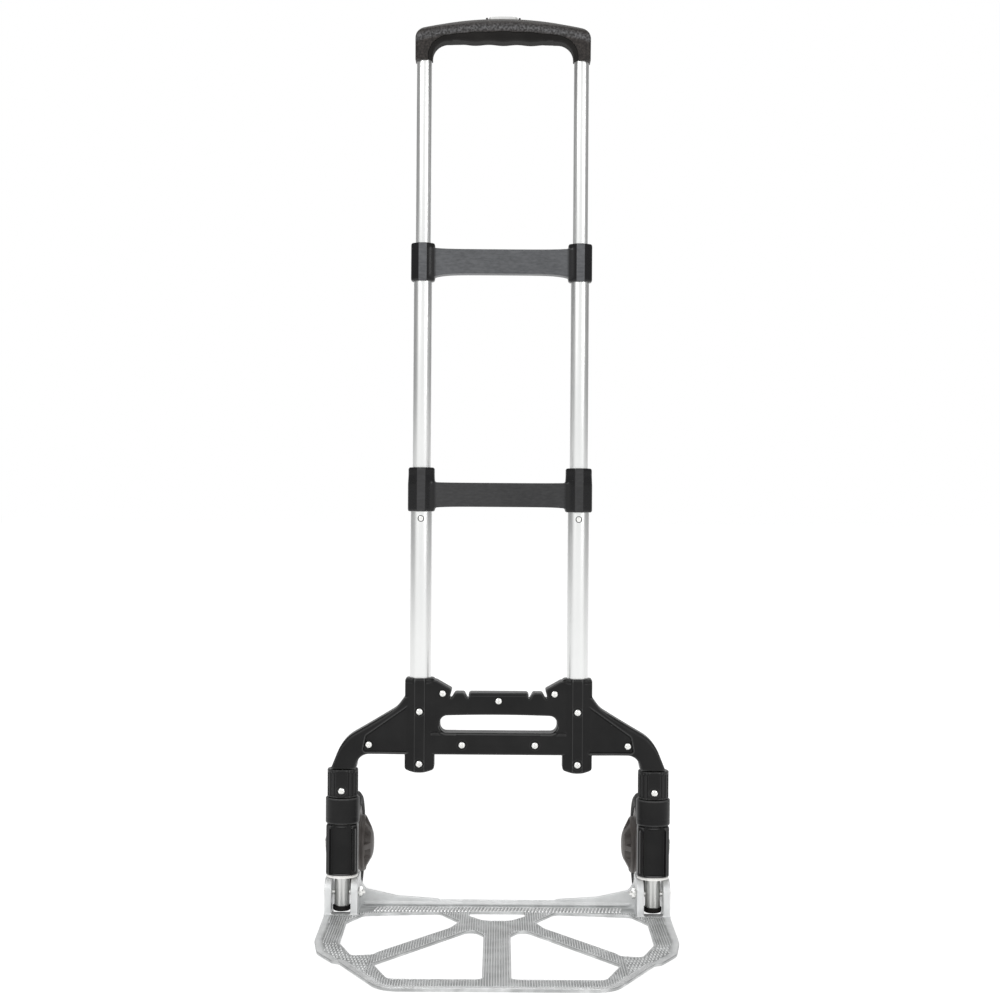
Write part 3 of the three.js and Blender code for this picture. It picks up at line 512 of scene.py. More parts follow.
# %% Skin a distance formula
def skin(field, low, high, cell):
    """Points and faces of the surface where field(x, y, z) is zero, inside a box.

    Every grid line between two samples of opposite sign crosses the surface at
    t = f0 / (f0 - f1). A cell's point is the average of its crossings, and the four cells
    round a crossed line share a face."""
    cell = np.broadcast_to(cell, 3)
    counts = [int(math.ceil((h - l) / c)) + 3 for l, h, c in zip(low, high, cell)]
    lines = [(l + h) / 2 + (np.arange(n) - (n - 1) / 2) * c for l, h, n, c in zip(low, high, counts, cell)]
    grid = [g.astype(np.float32) for g in np.meshgrid(*lines, indexing="ij", sparse=True)]
    f = np.broadcast_to(field(*grid), counts).astype(np.float32)
    inside = f < 0
    cells = tuple(n - 1 for n in counts)
    total = np.zeros((3, *cells), np.float32)
    number = np.zeros(cells, np.float32)
    crossed = []
    for axis in range(3):
        lo = tuple(slice(0, -1) if k == axis else slice(None) for k in range(3))
        hi = tuple(slice(1, None) if k == axis else slice(None) for k in range(3))
        hit = inside[lo] != inside[hi]
        t = np.where(hit, f[lo] / np.where(hit, f[lo] - f[hi], 1), 0)
        others = [k for k in range(3) if k != axis]
        for da in (0, 1):
            for db in (0, 1):
                part = [slice(None)] * 3
                part[others[0]] = slice(da, counts[others[0]] - 1 + da)
                part[others[1]] = slice(db, counts[others[1]] - 1 + db)
                part = tuple(part)
                number += hit[part]
                total[axis] += t[part]
                total[others[0]] += hit[part] * float(da)
                total[others[1]] += hit[part] * float(db)
        crossed.append((hit, inside[lo], others))
    used = number > 0
    index = np.full(cells, -1, np.int64)
    index[used] = np.arange(used.sum())
    at = np.stack(np.nonzero(used), 1) + (total[:, used] / number[used]).T
    points = np.array([line[0] for line in lines]) + at * cell
    faces = []
    for axis, (hit, starts_inside, others) in enumerate(crossed):
        where = np.stack(np.nonzero(hit), 1)
        inner = np.all((where[:, others] > 0) & (where[:, others] < np.array(counts)[others] - 1), 1)
        where = where[inner]
        quad = []
        for da, db in ((1, 1), (0, 1), (0, 0), (1, 0)):
            back = where.copy()
            back[:, others[0]] -= da
            back[:, others[1]] -= db
            quad.append(index[tuple(back.T)])
        quad = np.stack(quad, 1)
        flip = starts_inside[tuple(where.T)] != (axis == 1)
        quad[~flip] = quad[~flip][:, ::-1]
        faces.append(quad)
    return points, np.concatenate(faces)


def mirrored(made):
    """The same surface on the other side of the truck: x changes sign and the faces turn round."""
    points, faces = made
    return points * (-1, 1, 1), faces[:, ::-1]


def put_pair(name, made, material, body, node, slot, **options):
    """Puts a right-hand surface and its mirror image. {} in a name, body or node is the side."""
    for side, surface in (("right", made), ("left", mirrored(made))):
        put(name.format(side), *surface, material, body.format(side), [node.format(side)], slot, **options)


test_points, test_faces = skin(lambda x, y, z: drum(x, y, z, 5, -5, 5, 1), (-5,) * 3, (5,) * 3, 0.5)
fan = test_points[test_faces]
turn = np.cross(fan[:, 2] - fan[:, 0], fan[:, 3] - fan[:, 1])
print("a test drum:", len(test_faces), "faces, volume", round(float((fan.mean(1) * turn).sum() / 6), 1),
      "of", round(math.pi * 250, 1))

# %% [markdown]
# ## The telescopic tubes
# Each tube is a ring-shaped profile turned round its own axis. Its lips are slightly rounded, as a
# sawn and brushed end is.

# %% Tubes
TUBE_WALL = 1.2
SEAT_GAP = 0.3    # round a tube that is held fast
SLIDE_GAP = 0.35  # round a tube that slides or turns


def tube(node, body):
    """Profile: outer wall, top lip, bore, bottom lip, with corners softened by a third of the wall."""
    low, high = span(node)
    centre = (low + high) / 2
    outer = radius_of(node)
    ring = [(outer, low[2]), (outer, high[2]), (outer - TUBE_WALL, high[2]), (outer - TUBE_WALL, low[2])]
    made = turned(softened(ring, TUBE_WALL / 3), (centre[0], centre[1], 0), segments=96)
    metal = leg_aluminium if node.startswith("leg") else tube_aluminium
    put(f"{node}_wall", *made, metal, body, [node], "tube_aluminium")


for side in SIDES:
    tube(f"lower_tube_{side}", "base")
    tube(f"middle_tube_{side}", "middle_stage")
    tube(f"upper_tube_{side}", "handle_stage")
    tube(f"leg_tube_{side}", "base")
print("tubes:", 4 * len(SIDES))

# %% [markdown]
# ## Bridges
# A bridge is a moulded bar with a collar at each end. The collars have a flat strip down the front
# and sloping cheeks. The bar flares where it meets them: its edges follow an exponential that dies
# away from the collar. The back of the bar is cut into pockets with ribs between them.

# %% Bridge finishes
def two_tone(name, front_dark, front_light, radius):
    """Polished black cheeks, and a satin grey front: on the bar, where |x| is less than the tube's
    place less the collar's radius, and on the strip, within 4.5 mm of the tube's place, where the grey is a
    painted highlight down the collar's flat front."""
    finish = Finish(name, Specular_IOR_Level=0.3)
    grain = finish.noise(520, 3, (0.35, 1, 1))
    cloud = finish.noise(16, 3)
    off_tube = abs(finish.coordinate(0)) - tube_x * MM
    # Painted highlight: a grey strip within 4.5 mm of each tube's place, down the collar's flat front, as if
    # lit.
    strip_highlight = 1 - finish.spread(abs(off_tube), 4.1 * MM, 4.7 * MM)
    on_bar = 1 - finish.spread(off_tube, (-radius - 2) * MM, (-radius + 1) * MM)
    front = strip_highlight.or_more(on_bar)
    speckle = finish.spread(grain, 0.3, 0.7) * 0.6 + finish.spread(cloud, 0.3, 0.7) * 0.4
    satin = finish.between(front_dark, front_light, speckle)
    finish.paint(
        Base_Color=finish.mixed(front, (0.007, 0.007, 0.0075, 1), satin),
        Roughness=grain * 0.14 + front * 0.14 + 0.22,
    )
    finish.bump(grain, 0.05)
    return finish.material


bridge_black = two_tone("bridge_black", (0.022, 0.022, 0.023), (0.042, 0.042, 0.043), 15)
bridge_grey = two_tone("bridge_grey", (0.06, 0.062, 0.066), (0.115, 0.118, 0.124), 13.25)
print("bridge finishes: 2")

# %% Bridges
BAR_HALF_DEPTH = 8.9
POCKET_PITCH = 18


def collar_section(x, y, radius):
    """Distance to an eight-sided section: a circle cut by a front and a back flat, two sides and
    four sloping cheeks."""
    flat = radius - 0.4
    cheek = (np.abs(x) * 0.62 + np.abs(y) * 0.785) - radius * 0.955
    return larger(np.hypot(x, y) - radius * 1.04, np.abs(y) - flat, np.abs(x) - radius, cheek)


def bridge(node, body, held, passing, material, slot, bar_low, bar_high, flare, foot):
    """Bar melted into two collars, less the bore for the tube held and the one that slides through.
    The bar widens by flare as it nears a collar; foot is 1 where the collars narrow at their top."""
    low, high = span(node)
    radius = (high[1] - low[1]) / 2
    held_radius, passing_radius = radius_of(held), radius_of(passing)
    shoulder = span(held)[1][2]

    def field(x, y, z):
        """Half of it is enough: ax counts from the tube's axis, the same way on both sides."""
        ax = np.abs(x) - tube_x
        taper = 1 - 0.035 * ramp(z, low[2] + 0.62 * (high[2] - low[2]), 10) * foot
        collar = thick(collar_section(ax / taper, y / taper, radius), z, low[2], high[2], 2.2)
        swell = np.exp(-np.maximum(-ax - radius, 0) / 11)
        lower = bar_low - flare * swell
        upper = bar_high + 0.35 * flare * swell
        flat = np.maximum(lower - z, z - upper)
        bar = thick(np.maximum(flat, ax), y, -BAR_HALF_DEPTH, BAR_HALF_DEPTH, 1.4)
        shape = melt(collar, bar, 2.5)
        room = larger(bar_low + 2.5 - z, z - bar_high + 2.5, ax + radius - 2)
        hollow = thick(room, y, -6.3, 20, 0.5)
        ribs = np.abs(np.mod(np.abs(x) + POCKET_PITCH / 2, POCKET_PITCH) - POCKET_PITCH / 2) - 0.9
        shape = carve(shape, np.maximum(hollow, -ribs), 0.6)
        bore = np.hypot(ax, y)
        shape = carve(shape, np.maximum(bore - held_radius - 0.1, z - shoulder - 0.2))
        return carve(shape, bore - passing_radius - SLIDE_GAP)

    made = skin(field, low, high, 0.9)
    put(f"{node}_moulded", *made, material, body, [node], slot, weld=False)
    return len(made[1])


lower_foot, upper_foot = span("lower_bridge")[0][2], span("upper_bridge")[0][2]
faces = bridge("lower_bridge", "base", "lower_tube_right", "middle_tube_right", bridge_black,
               "black_plastic", lower_foot + 5.5, lower_foot + 32.2, 1.2, 1)
faces += bridge("upper_bridge", "middle_stage", "middle_tube_right", "upper_tube_right", bridge_grey,
                "grey_plastic", upper_foot + 8.6, upper_foot + 35.6, 3.4, 0)
print("bridges:", faces, "faces")

# %% [markdown]
# ## Latch buttons
# A spring leaf inside the tube pushes a round pin through a hole in the front wall. The pin has a
# domed end, and a dark gap shows round it. When the tube slides in, the pin is pressed flat.

# %% Latch buttons
PIN_RISE = 5


def latch(node, tube_node, body):
    """A round pin turned about the Y axis, with a dome of a tenth of its radius, and its spring leaf."""
    low, high = span(node)
    x = (low[0] + high[0]) / 2
    z = low[2] + PIN_RISE
    pin = 0.46 * (high[0] - low[0]) + 0.3
    back = -radius_of(tube_node) + 3
    tip = low[1]
    dome = [(0, tip), (0.6 * pin, tip + 0.15), (pin - 0.25, tip + 0.5), (pin, tip + 1),
            (pin, back), (0, back)]
    button = put(f"{node}_pin", *turned(dome, (x, 0, z), "y", 24), zinc, body, [node], "spring_steel")
    reach = radius_of(tube_node) - 2.2
    leaf_width = (high[0] - low[0]) * 0.45
    height = high[2] - low[2]
    t = np.linspace(0, 1, 41)
    bend = np.clip((t - 0.35) / 0.3, 0, 1) * np.pi
    y = np.where(t < 0.35, -reach, np.where(t > 0.65, reach, -reach * np.cos(bend)))
    rise = np.minimum(t, 1 - t) / 0.35 * (height - reach)
    zz = low[2] + np.minimum(rise, height - reach) + reach * np.sin(bend)
    outer = np.stack([y, zz], 1)
    inner = np.stack([y * (1 - 0.8 / reach), zz - 0.8 * np.sin(bend)], 1)
    strip = np.vstack([outer, inner[::-1]])
    edge_x = np.array([x - leaf_width, x + leaf_width])[:, None]
    edges = np.broadcast_arrays(edge_x, strip[:, 0], strip[:, 1])
    points = np.stack(edges, -1).reshape(-1, 3)
    n = len(strip)
    k = np.arange(len(t) - 1)
    side_face = np.stack([k, k + 1, n - 2 - k, n - 1 - k], 1)
    faces = np.vstack([weave(2, n), side_face, side_face + n])
    leaf = put(f"{node}_leaf", points, faces, spring_steel, body, slot="spring_steel")
    for piece in (button, leaf):
        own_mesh(piece)


for side in SIDES:
    latch(f"middle_latch_{side}", f"middle_tube_{side}", "middle_stage")
    latch(f"upper_latch_{side}", f"upper_tube_{side}", "handle_stage")
print("latch pins: 4")

# %% Rims of the latch holes
lower_radius = radius_of("lower_tube_right")
for side, sign in SIDES.items():
    low, high = span(f"middle_latch_{side}")
    hole = 0.46 * (high[0] - low[0]) + 0.35
    front, back = -lower_radius, TUBE_WALL - lower_radius
    rim = [(hole, front - 0.15), (hole + 0.75, front - 0.1), (hole + 0.75, back), (hole, back)]
    made = turned(rim, (sign * tube_x, 0, low[2] + PIN_RISE), "y", 32)
    put(f"latch_rim_{side}", *made, grip_rubber, "base", slot="black_plastic")
print("latch rims: 2")

# %% [markdown]
# ## Handle
# The grip is an arch that turns down into two short legs. Its front has a rough band, with a painted
# highlight in grey along its lower edge, above a wavy line, and under it the soft underside with finger
# grooves. Both parts come from one set of formulas: an arch outline in X and Z, thinned towards its
# edges by a rounded section in Y.

# %% Handle measures
shell_low, shell_high = span("handle_shell")
grip_bottom = span("handle_grip")[0][2]
button_low, button_high = span("release_button")
HANDLE_LEG = 19.6
HAND_CORNER = 17
FINGER_PITCH = 31
SHOULDER_DROP = 13.2
handle_half_depth = shell_high[1]
handle_outer = shell_high[0]
handle_inner = handle_outer - HANDLE_LEG
crown_top = shell_high[2] - 1.1


def crown(x):
    """Height of the arch: a parabola that falls by SHOULDER_DROP from the middle to the ends."""
    return crown_top - SHOULDER_DROP * (x / handle_outer) ** 2


def finger_wave(x):
    """Three lobes 31 mm apart that hang 1.2 mm below the grooves between them."""
    fade = ramp(np.abs(x), 52, -8)
    return -0.6 * fade * np.cos(2 * np.pi * x / FINGER_PITCH)


def opening_edge(x, z):
    """Distance from the space that the hand goes through, growing into the handle: its top is the
    finger wave, its sides are the legs, and a round corner joins them."""
    u = np.abs(x) - handle_inner
    v = z - grip_bottom - finger_wave(x)
    corner = np.hypot(np.maximum(u + HAND_CORNER, 0), np.maximum(v + HAND_CORNER, 0)) - HAND_CORNER
    return np.where((u > -HAND_CORNER) & (v > -HAND_CORNER), corner, np.maximum(u, v))


def underside(x, z):
    """Negative in the soft underside: a zone 9 mm wide that follows the opening round to the legs."""
    ax = np.abs(x)
    width = 9.2 - 1.6 * finger_wave(x) - 0.0009 * np.minimum(ax, 70) ** 2 + 0.03 * np.maximum(ax - 60, 0)
    return opening_edge(x, z) - width


def handle_body(x, y, z):
    """Distance to the solid handle: the arch less the space below it, rounded in the depth."""
    ax = np.abs(x)
    outer = rounded(ax - handle_outer, (z - crown(x)) * 0.98, 9.5)
    room = opening_edge(x, z)
    flat = larger(outer, -room, shell_low[2] - z)
    depth = handle_half_depth - 0.2 - 2.4 * ramp(z, grip_bottom + 14, 14) ** 2
    depth = depth - 3.0 * ramp(room, 9, -9) ** 1.5 - 3.4 * ramp(z, shell_low[2] + 30, -30)
    soft = 5.5 + 5.0 * ramp(z, grip_bottom + 9, 10)
    return rounded(flat, np.abs(y) - depth, soft)


# %% Handle shell and grip
def tube_sockets(x, y, z):
    """Bores for the upper tubes, up to the arch's underside."""
    bore_radius = radius_of("upper_tube_right") + 0.15
    return drum(np.abs(x) - tube_x, y, z, bore_radius, shell_low[2] - 5, grip_bottom + 6)


def upper_shell(x, y, z):
    """The band outside the underside zone, less the sockets, the button's well and the yoke's room."""
    body = handle_body(x, y, z)
    shape = np.maximum(body, -underside(x, z))
    nub = block(np.abs(x), y, z, (button_high[0] - 1.4, 0, crown_top + 0.7), (1.2, 5.5, 1.1), 0.7)
    shape = melt(shape, nub, 0.8)
    shape = carve(shape, tube_sockets(x, y, z))
    well = block(x, y, z, (0, 0, crown_top), (button_high[0] - 3.2, 7.5, 9), 3.2)
    shape = carve(shape, well, 0.8)
    yoke_room = block(x, y, z, (0, 0, grip_bottom + 10.5), (90, 6.3, 6.2), 0.5)
    return carve(shape, np.maximum(yoke_room, body + 1.6))


def lower_grip(x, y, z):
    """The soft underside, set back by 0.5 mm, with a slot near each end where it is clipped in."""
    shape = np.maximum(handle_body(x, y, z) + 0.5, underside(x, z) + 0.1)
    slot = block(np.abs(x), y, z, (52, 0, grip_bottom + 0.2), (3.7, 30, 1.1), 0.5)
    shape = carve(shape, slot, 0.4)
    shape = carve(shape, tube_sockets(x, y, z))
    return carve(shape, drum(x, y, z, 5.4, grip_bottom + 1.3, grip_bottom + 40))


made = skin(upper_shell, shell_low - 1, shell_high + (1, 1, 2), (0.8, 0.75, 0.65))
put("handle_top", *made, handle_skin, "handle_stage", ["handle_shell"], "handle_plastic", weld=False)
print("handle shell:", len(made[1]), "faces")
grip_box = shell_low - (0, 1, 1), (shell_high[0], shell_high[1] + 1, grip_bottom + 16)
made = skin(lower_grip, *grip_box, (0.8, 0.75, 0.6))
put("handle_underside", *made, grip_rubber, "handle_stage", ["handle_grip"], "handle_plastic", weld=False)
print("grip:", len(made[1]), "faces")

# %% [markdown]
# The release button is a long oval cap of silver plastic, crowned along its length, with a small
# ridge near each end for the thumb. It rides on the release, which moves down by 3 mm.

# %% Release button
def release_cap(x, y, z):
    """A rounded bar with a crowned top and two thumb ridges."""
    top = button_high[2] - 0.7 - 0.9 * (x / button_high[0]) ** 2
    half = (button_high[0] - 3.5, 7.0)
    flat = np.hypot(np.maximum(np.abs(x) - half[0] + 5, 0), np.maximum(np.abs(y) - half[1] + 5, 0)) - 5
    flat = np.maximum(flat, np.maximum(np.abs(x) - half[0], np.abs(y) - half[1]))
    cap = thick(flat, z - top, -14, 0, 1.1)
    ridge = block(np.abs(x), y, z - top, (half[0] - 3.2, 0, 0), (0.9, 4.6, 0.6), 0.4)
    flange = block(x, y, z, (0, 0, button_low[2] + 1.25), (button_high[0] - 0.1, 8.9, 1.2), 0.6)
    return np.minimum(melt(cap, ridge, 0.5), flange)


made = skin(release_cap, button_low - 0.6, button_high + 0.6, 0.45)
put("release_cap", *made, button_silver, "release", ["release_button"], "silver_plastic", weld=False)
print("release button:", len(made[1]), "faces")

# %% [markdown]
# ## Frame
# The frame is two black shells screwed together round the tubes. What is seen is the front of one
# and the back of the other, mirror images of each other: sockets with a flat strip, a cross beam
# with a hand slot, and wings that come down to the legs with a raised rim and a sunk panel.

# %% Frame measures
shell_front = "frame_front_shell"
frame_low, frame_high = span(shell_front)
leg_top = span("leg_collar_right")[1][2]
screw_places = [middle(f"frame_screw_{k}") for k in range(1, 12)]
SOCKET_HALF = 16.3
SOCKET_DEPTH = 16.5
STRIP_HALF = 6
FRAME_DEPTH = 13
PARTING_GAP = 0.15
BEAM_RISE = 19.9
BEAM_HEIGHT = 68.4
NOTCH_DEPTH = 6.6
SLOT_RISE = 24.1
SLOT_HEIGHT = 19.9
SLOT_HALF = 64.8
SLOT_ROUND = 8
SLOT_ARCH = 1.2
frame_bottom, frame_top = frame_low[2], frame_high[2]
beam_bottom = frame_bottom + BEAM_RISE
beam_top = beam_bottom + BEAM_HEIGHT
slot_bottom = beam_bottom + SLOT_RISE
slot_top = slot_bottom + SLOT_HEIGHT
socket_in, socket_out = tube_x - SOCKET_HALF, tube_x + SOCKET_HALF
notch_floor = beam_top - NOTCH_DEPTH

# The beam's outline runs past the middle line, so that the middle line itself is no edge.
beam_outline = arcs([
    (33.9, beam_top, 3), (32.5, notch_floor, 0.8), (34.6, notch_floor, 0.8), (38, beam_top, 2.2),
    (48.2, beam_top, 2.2), (52.2, notch_floor, 0.8), (54.3, notch_floor, 0.8), (51.6, beam_top + 3.6, 1.5),
    (socket_in - 2, beam_top + 13.4, 0), (tube_x, beam_top + 13.4, 0), (tube_x, beam_bottom, 0),
    (-20, beam_bottom, 0), (-20, beam_top, 0),
], 0.15)
wing_outline = arcs([
    (tube_x, frame_top - 20.5, 0), (socket_out, frame_top - 20.5, 0), (socket_out + 9, frame_top - 33, 25),
    (leg_x - 26.5, leg_top + 48.5, 40), (leg_x - 0.5, leg_top + 33.5, 42), (leg_x + 12.8, leg_top + 0.3, 0),
    (leg_x - 14.8, leg_top + 0.3, 0),
    (leg_x - 18, beam_bottom, 14), (tube_x, beam_bottom, 0),
], 0.06)

recess_outline = arcs([
    (socket_out - 6, beam_bottom + 55, 0), (leg_x - 26, beam_bottom + 20.5, 4),
    (leg_x - 22.5, beam_bottom + 2.5, 3), (socket_out - 6, beam_bottom + 2.5, 0),
])
print("frame depth %.1f mm at the beam, %.1f mm at the sockets" % (FRAME_DEPTH, SOCKET_DEPTH))



# %% Beam, wings and sockets
def beam_shape(ax, y, z):
    """The cross beam, ax being |x|: its lower bar stands 1.6 mm proud, and a raised lip and a fine
    line run round the lower half of the hand slot."""
    beam = outline(ax[:, 0, :], z[:, 0, :], beam_outline)[:, None, :]
    arch = slot_top - SLOT_ARCH * (ax / SLOT_HALF) ** 2
    above = np.abs(z - (arch + slot_bottom) / 2) - (arch - slot_bottom) / 2
    beside = ax - SLOT_HALF
    slot = np.hypot(np.maximum(beside + SLOT_ROUND, 0), np.maximum(above + SLOT_ROUND, 0)) - SLOT_ROUND
    slot = larger(slot, beside, above)
    lip = 0.9 * tent(slot - 1.6, 1.4) * ramp(z, slot_bottom + 9, -3)
    line = 0.6 * tent(slot - 3.9, 0.8) * ramp(z, slot_bottom + 1, -2)
    top_step = 0.7 * ramp(z, beam_top - 3.6, 0.8) * (ax < 31)
    low_bar = 1.6 * (1 - ramp(z, slot_bottom + 0.2, 0.9))
    face = FRAME_DEPTH - 1.9 + low_bar + lip - line - top_step
    return thick(np.maximum(beam, -slot), y, PARTING_GAP - 4, face, 1.4)


def wing_shape(ax, y, z):
    """The wings: a panel sunk by 2.4 mm inside a thin raised line, and edges that get rounder
    towards the legs."""
    wing = outline(ax[:, 0, :], z[:, 0, :], wing_outline)[:, None, :]
    sunk = outline(ax[:, 0, :], z[:, 0, :], recess_outline)[:, None, :]
    depth = FRAME_DEPTH - 0.3 - 2.4 * ramp(-sunk, 0) + 0.3 * tent(sunk - 0.9, 0.8)
    outwards = np.maximum(ramp(ax, socket_out, 25), 0.3)
    upwards = np.maximum(ramp(z, beam_bottom - 12, 24), 0.4)
    return thick(wing, y, PARTING_GAP - 8, depth, 4.4 * outwards * upwards)


def socket_shape(u, y, z):
    """A tube socket, u being the distance from its axis: a flat strip down the front, cheeks that
    fall away as distance^1.12, a step near the top and a rounded foot."""
    cheek = ramp(np.abs(u), STRIP_HALF - 0.2, 0.6)
    front = SOCKET_DEPTH - 0.3 - 0.42 * np.maximum(np.abs(u) - STRIP_HALF, 0) ** 1.12
    front = front - cheek * (0.8 + 0.9 * ramp(z, frame_top - 5, 0.8))
    section = np.maximum(np.abs(u) - SOCKET_HALF, y - front)
    return thick(section, z, frame_bottom + 0.011 * u**2, frame_top, 2.8)


# %% Frame shells
def frame_field(x, y, z):
    """Half of the frame, y being the distance in front of the parting plane."""
    ax = np.abs(x)
    shape = melt(beam_shape(ax, y, z), wing_shape(ax, y, z), 1.5)
    shape = melt(shape, socket_shape(ax - tube_x, y, z), 1.2)
    ledge = block(ax, y, z, (socket_in - 10, FRAME_DEPTH - 1, slot_bottom - 2), (14, 1.1, 1.2), 0.8)
    shape = melt(shape, ledge, 2.0)
    for px, _, pz in (place for place in screw_places if place[0] >= -1):
        seat = SOCKET_DEPTH if abs(px - tube_x) < 1 else FRAME_DEPTH
        away = np.hypot(ax - px, z - pz)
        shape = carve(shape, larger(away - 5.0, 3.9 - away, seat - 1.1 - y), 0.4)
        shape = carve(shape, np.maximum(away - 1.9, seat - 9 - y))
    tube_bore = np.hypot(ax - tube_x, y) - radius_of("lower_tube_right") - SEAT_GAP
    shape = carve(shape, np.maximum(tube_bore, frame_bottom + 3.6 - z))
    leg_bore = np.hypot(ax - leg_x, y) - radius_of("leg_tube_right") - SEAT_GAP
    shape = carve(shape, np.maximum(leg_bore, z - span("leg_tube_right")[1][2] - 0.3))
    return np.maximum(shape, PARTING_GAP - y)


frame_box = (-frame_high[0] - 1, -1, frame_bottom - 1), (frame_high[0] + 1, SOCKET_DEPTH + 1, frame_top + 1)
points, faces = skin(frame_field, *frame_box, (0.85, 0.75, 0.85))
halves = {"back": (points, faces), "front": (points * (1, -1, 1), faces[:, ::-1])}
for half, surface in halves.items():
    put(f"frame_{half}", *surface, frame_black, "base", [f"frame_{half}_shell"], "black_plastic", weld=False)
print("frame shells:", 2 * len(faces), "faces")

# %% [markdown]
# ## Screws
# Pan-head screws hold the shells together. One screw is worked out on a fine grid, head, cross
# recess and shank, and its points are moved to each place.

# %% Screws
HEAD_HEIGHT = 1.7


def screw_field(head_radius, length):
    """The screw stands at the origin and points back along +Y, with its head from y = -1.7 to -0.1."""
    def field(x, y, z):
        """A drum cut by a ball, less a cross that narrows as it deepens, and a shank with rings."""
        away = np.hypot(x, z)
        dome = np.sqrt(x**2 + (y - 3.4) ** 2 + z**2) - 5.15
        head = np.maximum(drum(x, z, y, head_radius, -2.2, -0.1, 0.4), dome)
        cross = np.minimum(np.maximum(np.abs(x) - 0.45, np.abs(z) - 0.52 * head_radius),
                           np.maximum(np.abs(z) - 0.45, np.abs(x) - 0.52 * head_radius))
        head = carve(head, np.maximum(cross + 0.25 * (y + 1.7), y + 0.6), 0.15)
        shank = thick(away - 1.55 - 0.12 * np.cos(y * 2 * np.pi / 1.4), y, -0.3, length, 0.4)
        return np.minimum(head, shank)
    return field


def screws(nodes, head_radius):
    """One skin for all screws of a length, moved to each node's head."""
    low, high = span(nodes[0])
    length = high[1] - low[1] - HEAD_HEIGHT
    half = head_radius + 0.3
    screw_box = (-half, -2, -half), (half, length + 0.3, half)
    points, faces = skin(screw_field(head_radius, length), *screw_box, 0.28)
    for node in nodes:
        place = (middle(node)[0], span(node)[0][1] + HEAD_HEIGHT, middle(node)[2])
        made = points + place, faces
        put(f"{node}_head", *made, zinc, "base", [node], "zinc_steel", sharp=45, weld=False)
    return len(faces)


frame_screws = [f"frame_screw_{k}" for k in range(1, 12)]
on_socket = [n for n in frame_screws if abs(abs(middle(n)[0]) - tube_x) < 1]
print("screw faces:", screws([n for n in frame_screws if n not in on_socket], 4.0), screws(on_socket, 4.0),
      screws([f"leg_screw_{side}" for side in SIDES], 4.6))

# %% [markdown]
# ## Legs
# Under the frame a ribbed collar grips each leg tube. Below it the wheel bracket turns on the tube:
# a ring, a neck, and a sleeve with a panel on its front. A web on the outside of the sleeve runs
# back to the axle boss.

# %% Leg collars
COLLAR_RADIUS = 17
COLLAR_FLAT = 16.25
COLLAR_RIBS = 20


def collar_field(low, high):
    """A drum with a flat front strip 14 wide, and ribs every 18 degrees elsewhere."""
    def field(x, y, z):
        """Ribs are a squared-off cosine round the drum, faded out near the strip and the ends."""
        u = x - leg_x
        ribs = np.clip(np.cos(COLLAR_RIBS * np.arctan2(u, -y)) * 2.5, -1, 1) * 0.38 - 0.38
        shown = ramp(np.abs(u), 7.0, 0.6) * ramp(z, low[2] + 1.6, 0.8) * ramp(z, high[2] - 3, -0.8)
        section = np.maximum(np.hypot(u, y) - COLLAR_RADIUS - ribs * shown, -COLLAR_FLAT - y)
        groove = 0.5 * tent(np.abs(u) - 7.4, 0.7)
        shape = thick(section + groove, z, low[2], high[2], 1.3)
        away = np.hypot(u, z - screw_z)
        shape = carve(shape, larger(away - 5.4, COLLAR_FLAT - 0.5 + y, 4.5 - away), 0.3)
        shape = carve(shape, np.maximum(away - 1.9, y))
        return carve(shape, np.hypot(u, y) - radius_of("leg_tube_right") - SEAT_GAP)
    return field


collar_low, collar_high = span("leg_collar_right")
screw_z = middle("leg_screw_right")[2]
made = skin(collar_field(collar_low, collar_high), collar_low - 0.8, collar_high + 0.8, (0.55, 0.55, 0.6))
put_pair("collar_{}", made, frame_black, "base", "leg_collar_{}", "black_plastic", weld=False)
print("leg collar:", len(made[1]), "faces")

# %% Wheel bracket
bracket_low, bracket_high = span("wheel_bracket_right")
tyre_low, tyre_high = span("tyre_right")
sleeve_bottom, ring_top = span("cam_ring_right")[1][2] + 0.3, bracket_high[2]
RING_HEIGHT = 27
NECK = 3
BEARING = 36
RING_RADIUS = 18.7
SLEEVE_HALF = (17.3, 14.2)
BOSS_RADIUS = 21
AXLE_BORE = 4.3
sleeve_top = ring_top - RING_HEIGHT - NECK
arm_inner = tyre_high[0] + 1.6
arm_outer = arm_inner + 7.5
boss_tip = bracket_high[0]
web_outline = arcs([
    (9, sleeve_bottom + 2, 0), (38.9, sleeve_bottom + 3, 0), (wheel_y - 6, wheel_z - 23, 18),
    (wheel_y + BOSS_RADIUS, wheel_z - BOSS_RADIUS, 19), (wheel_y + BOSS_RADIUS, wheel_z + BOSS_RADIUS, 19),
    (wheel_y - 12, wheel_z + 24, 20),
    (9, sleeve_top - 2, 0),
])


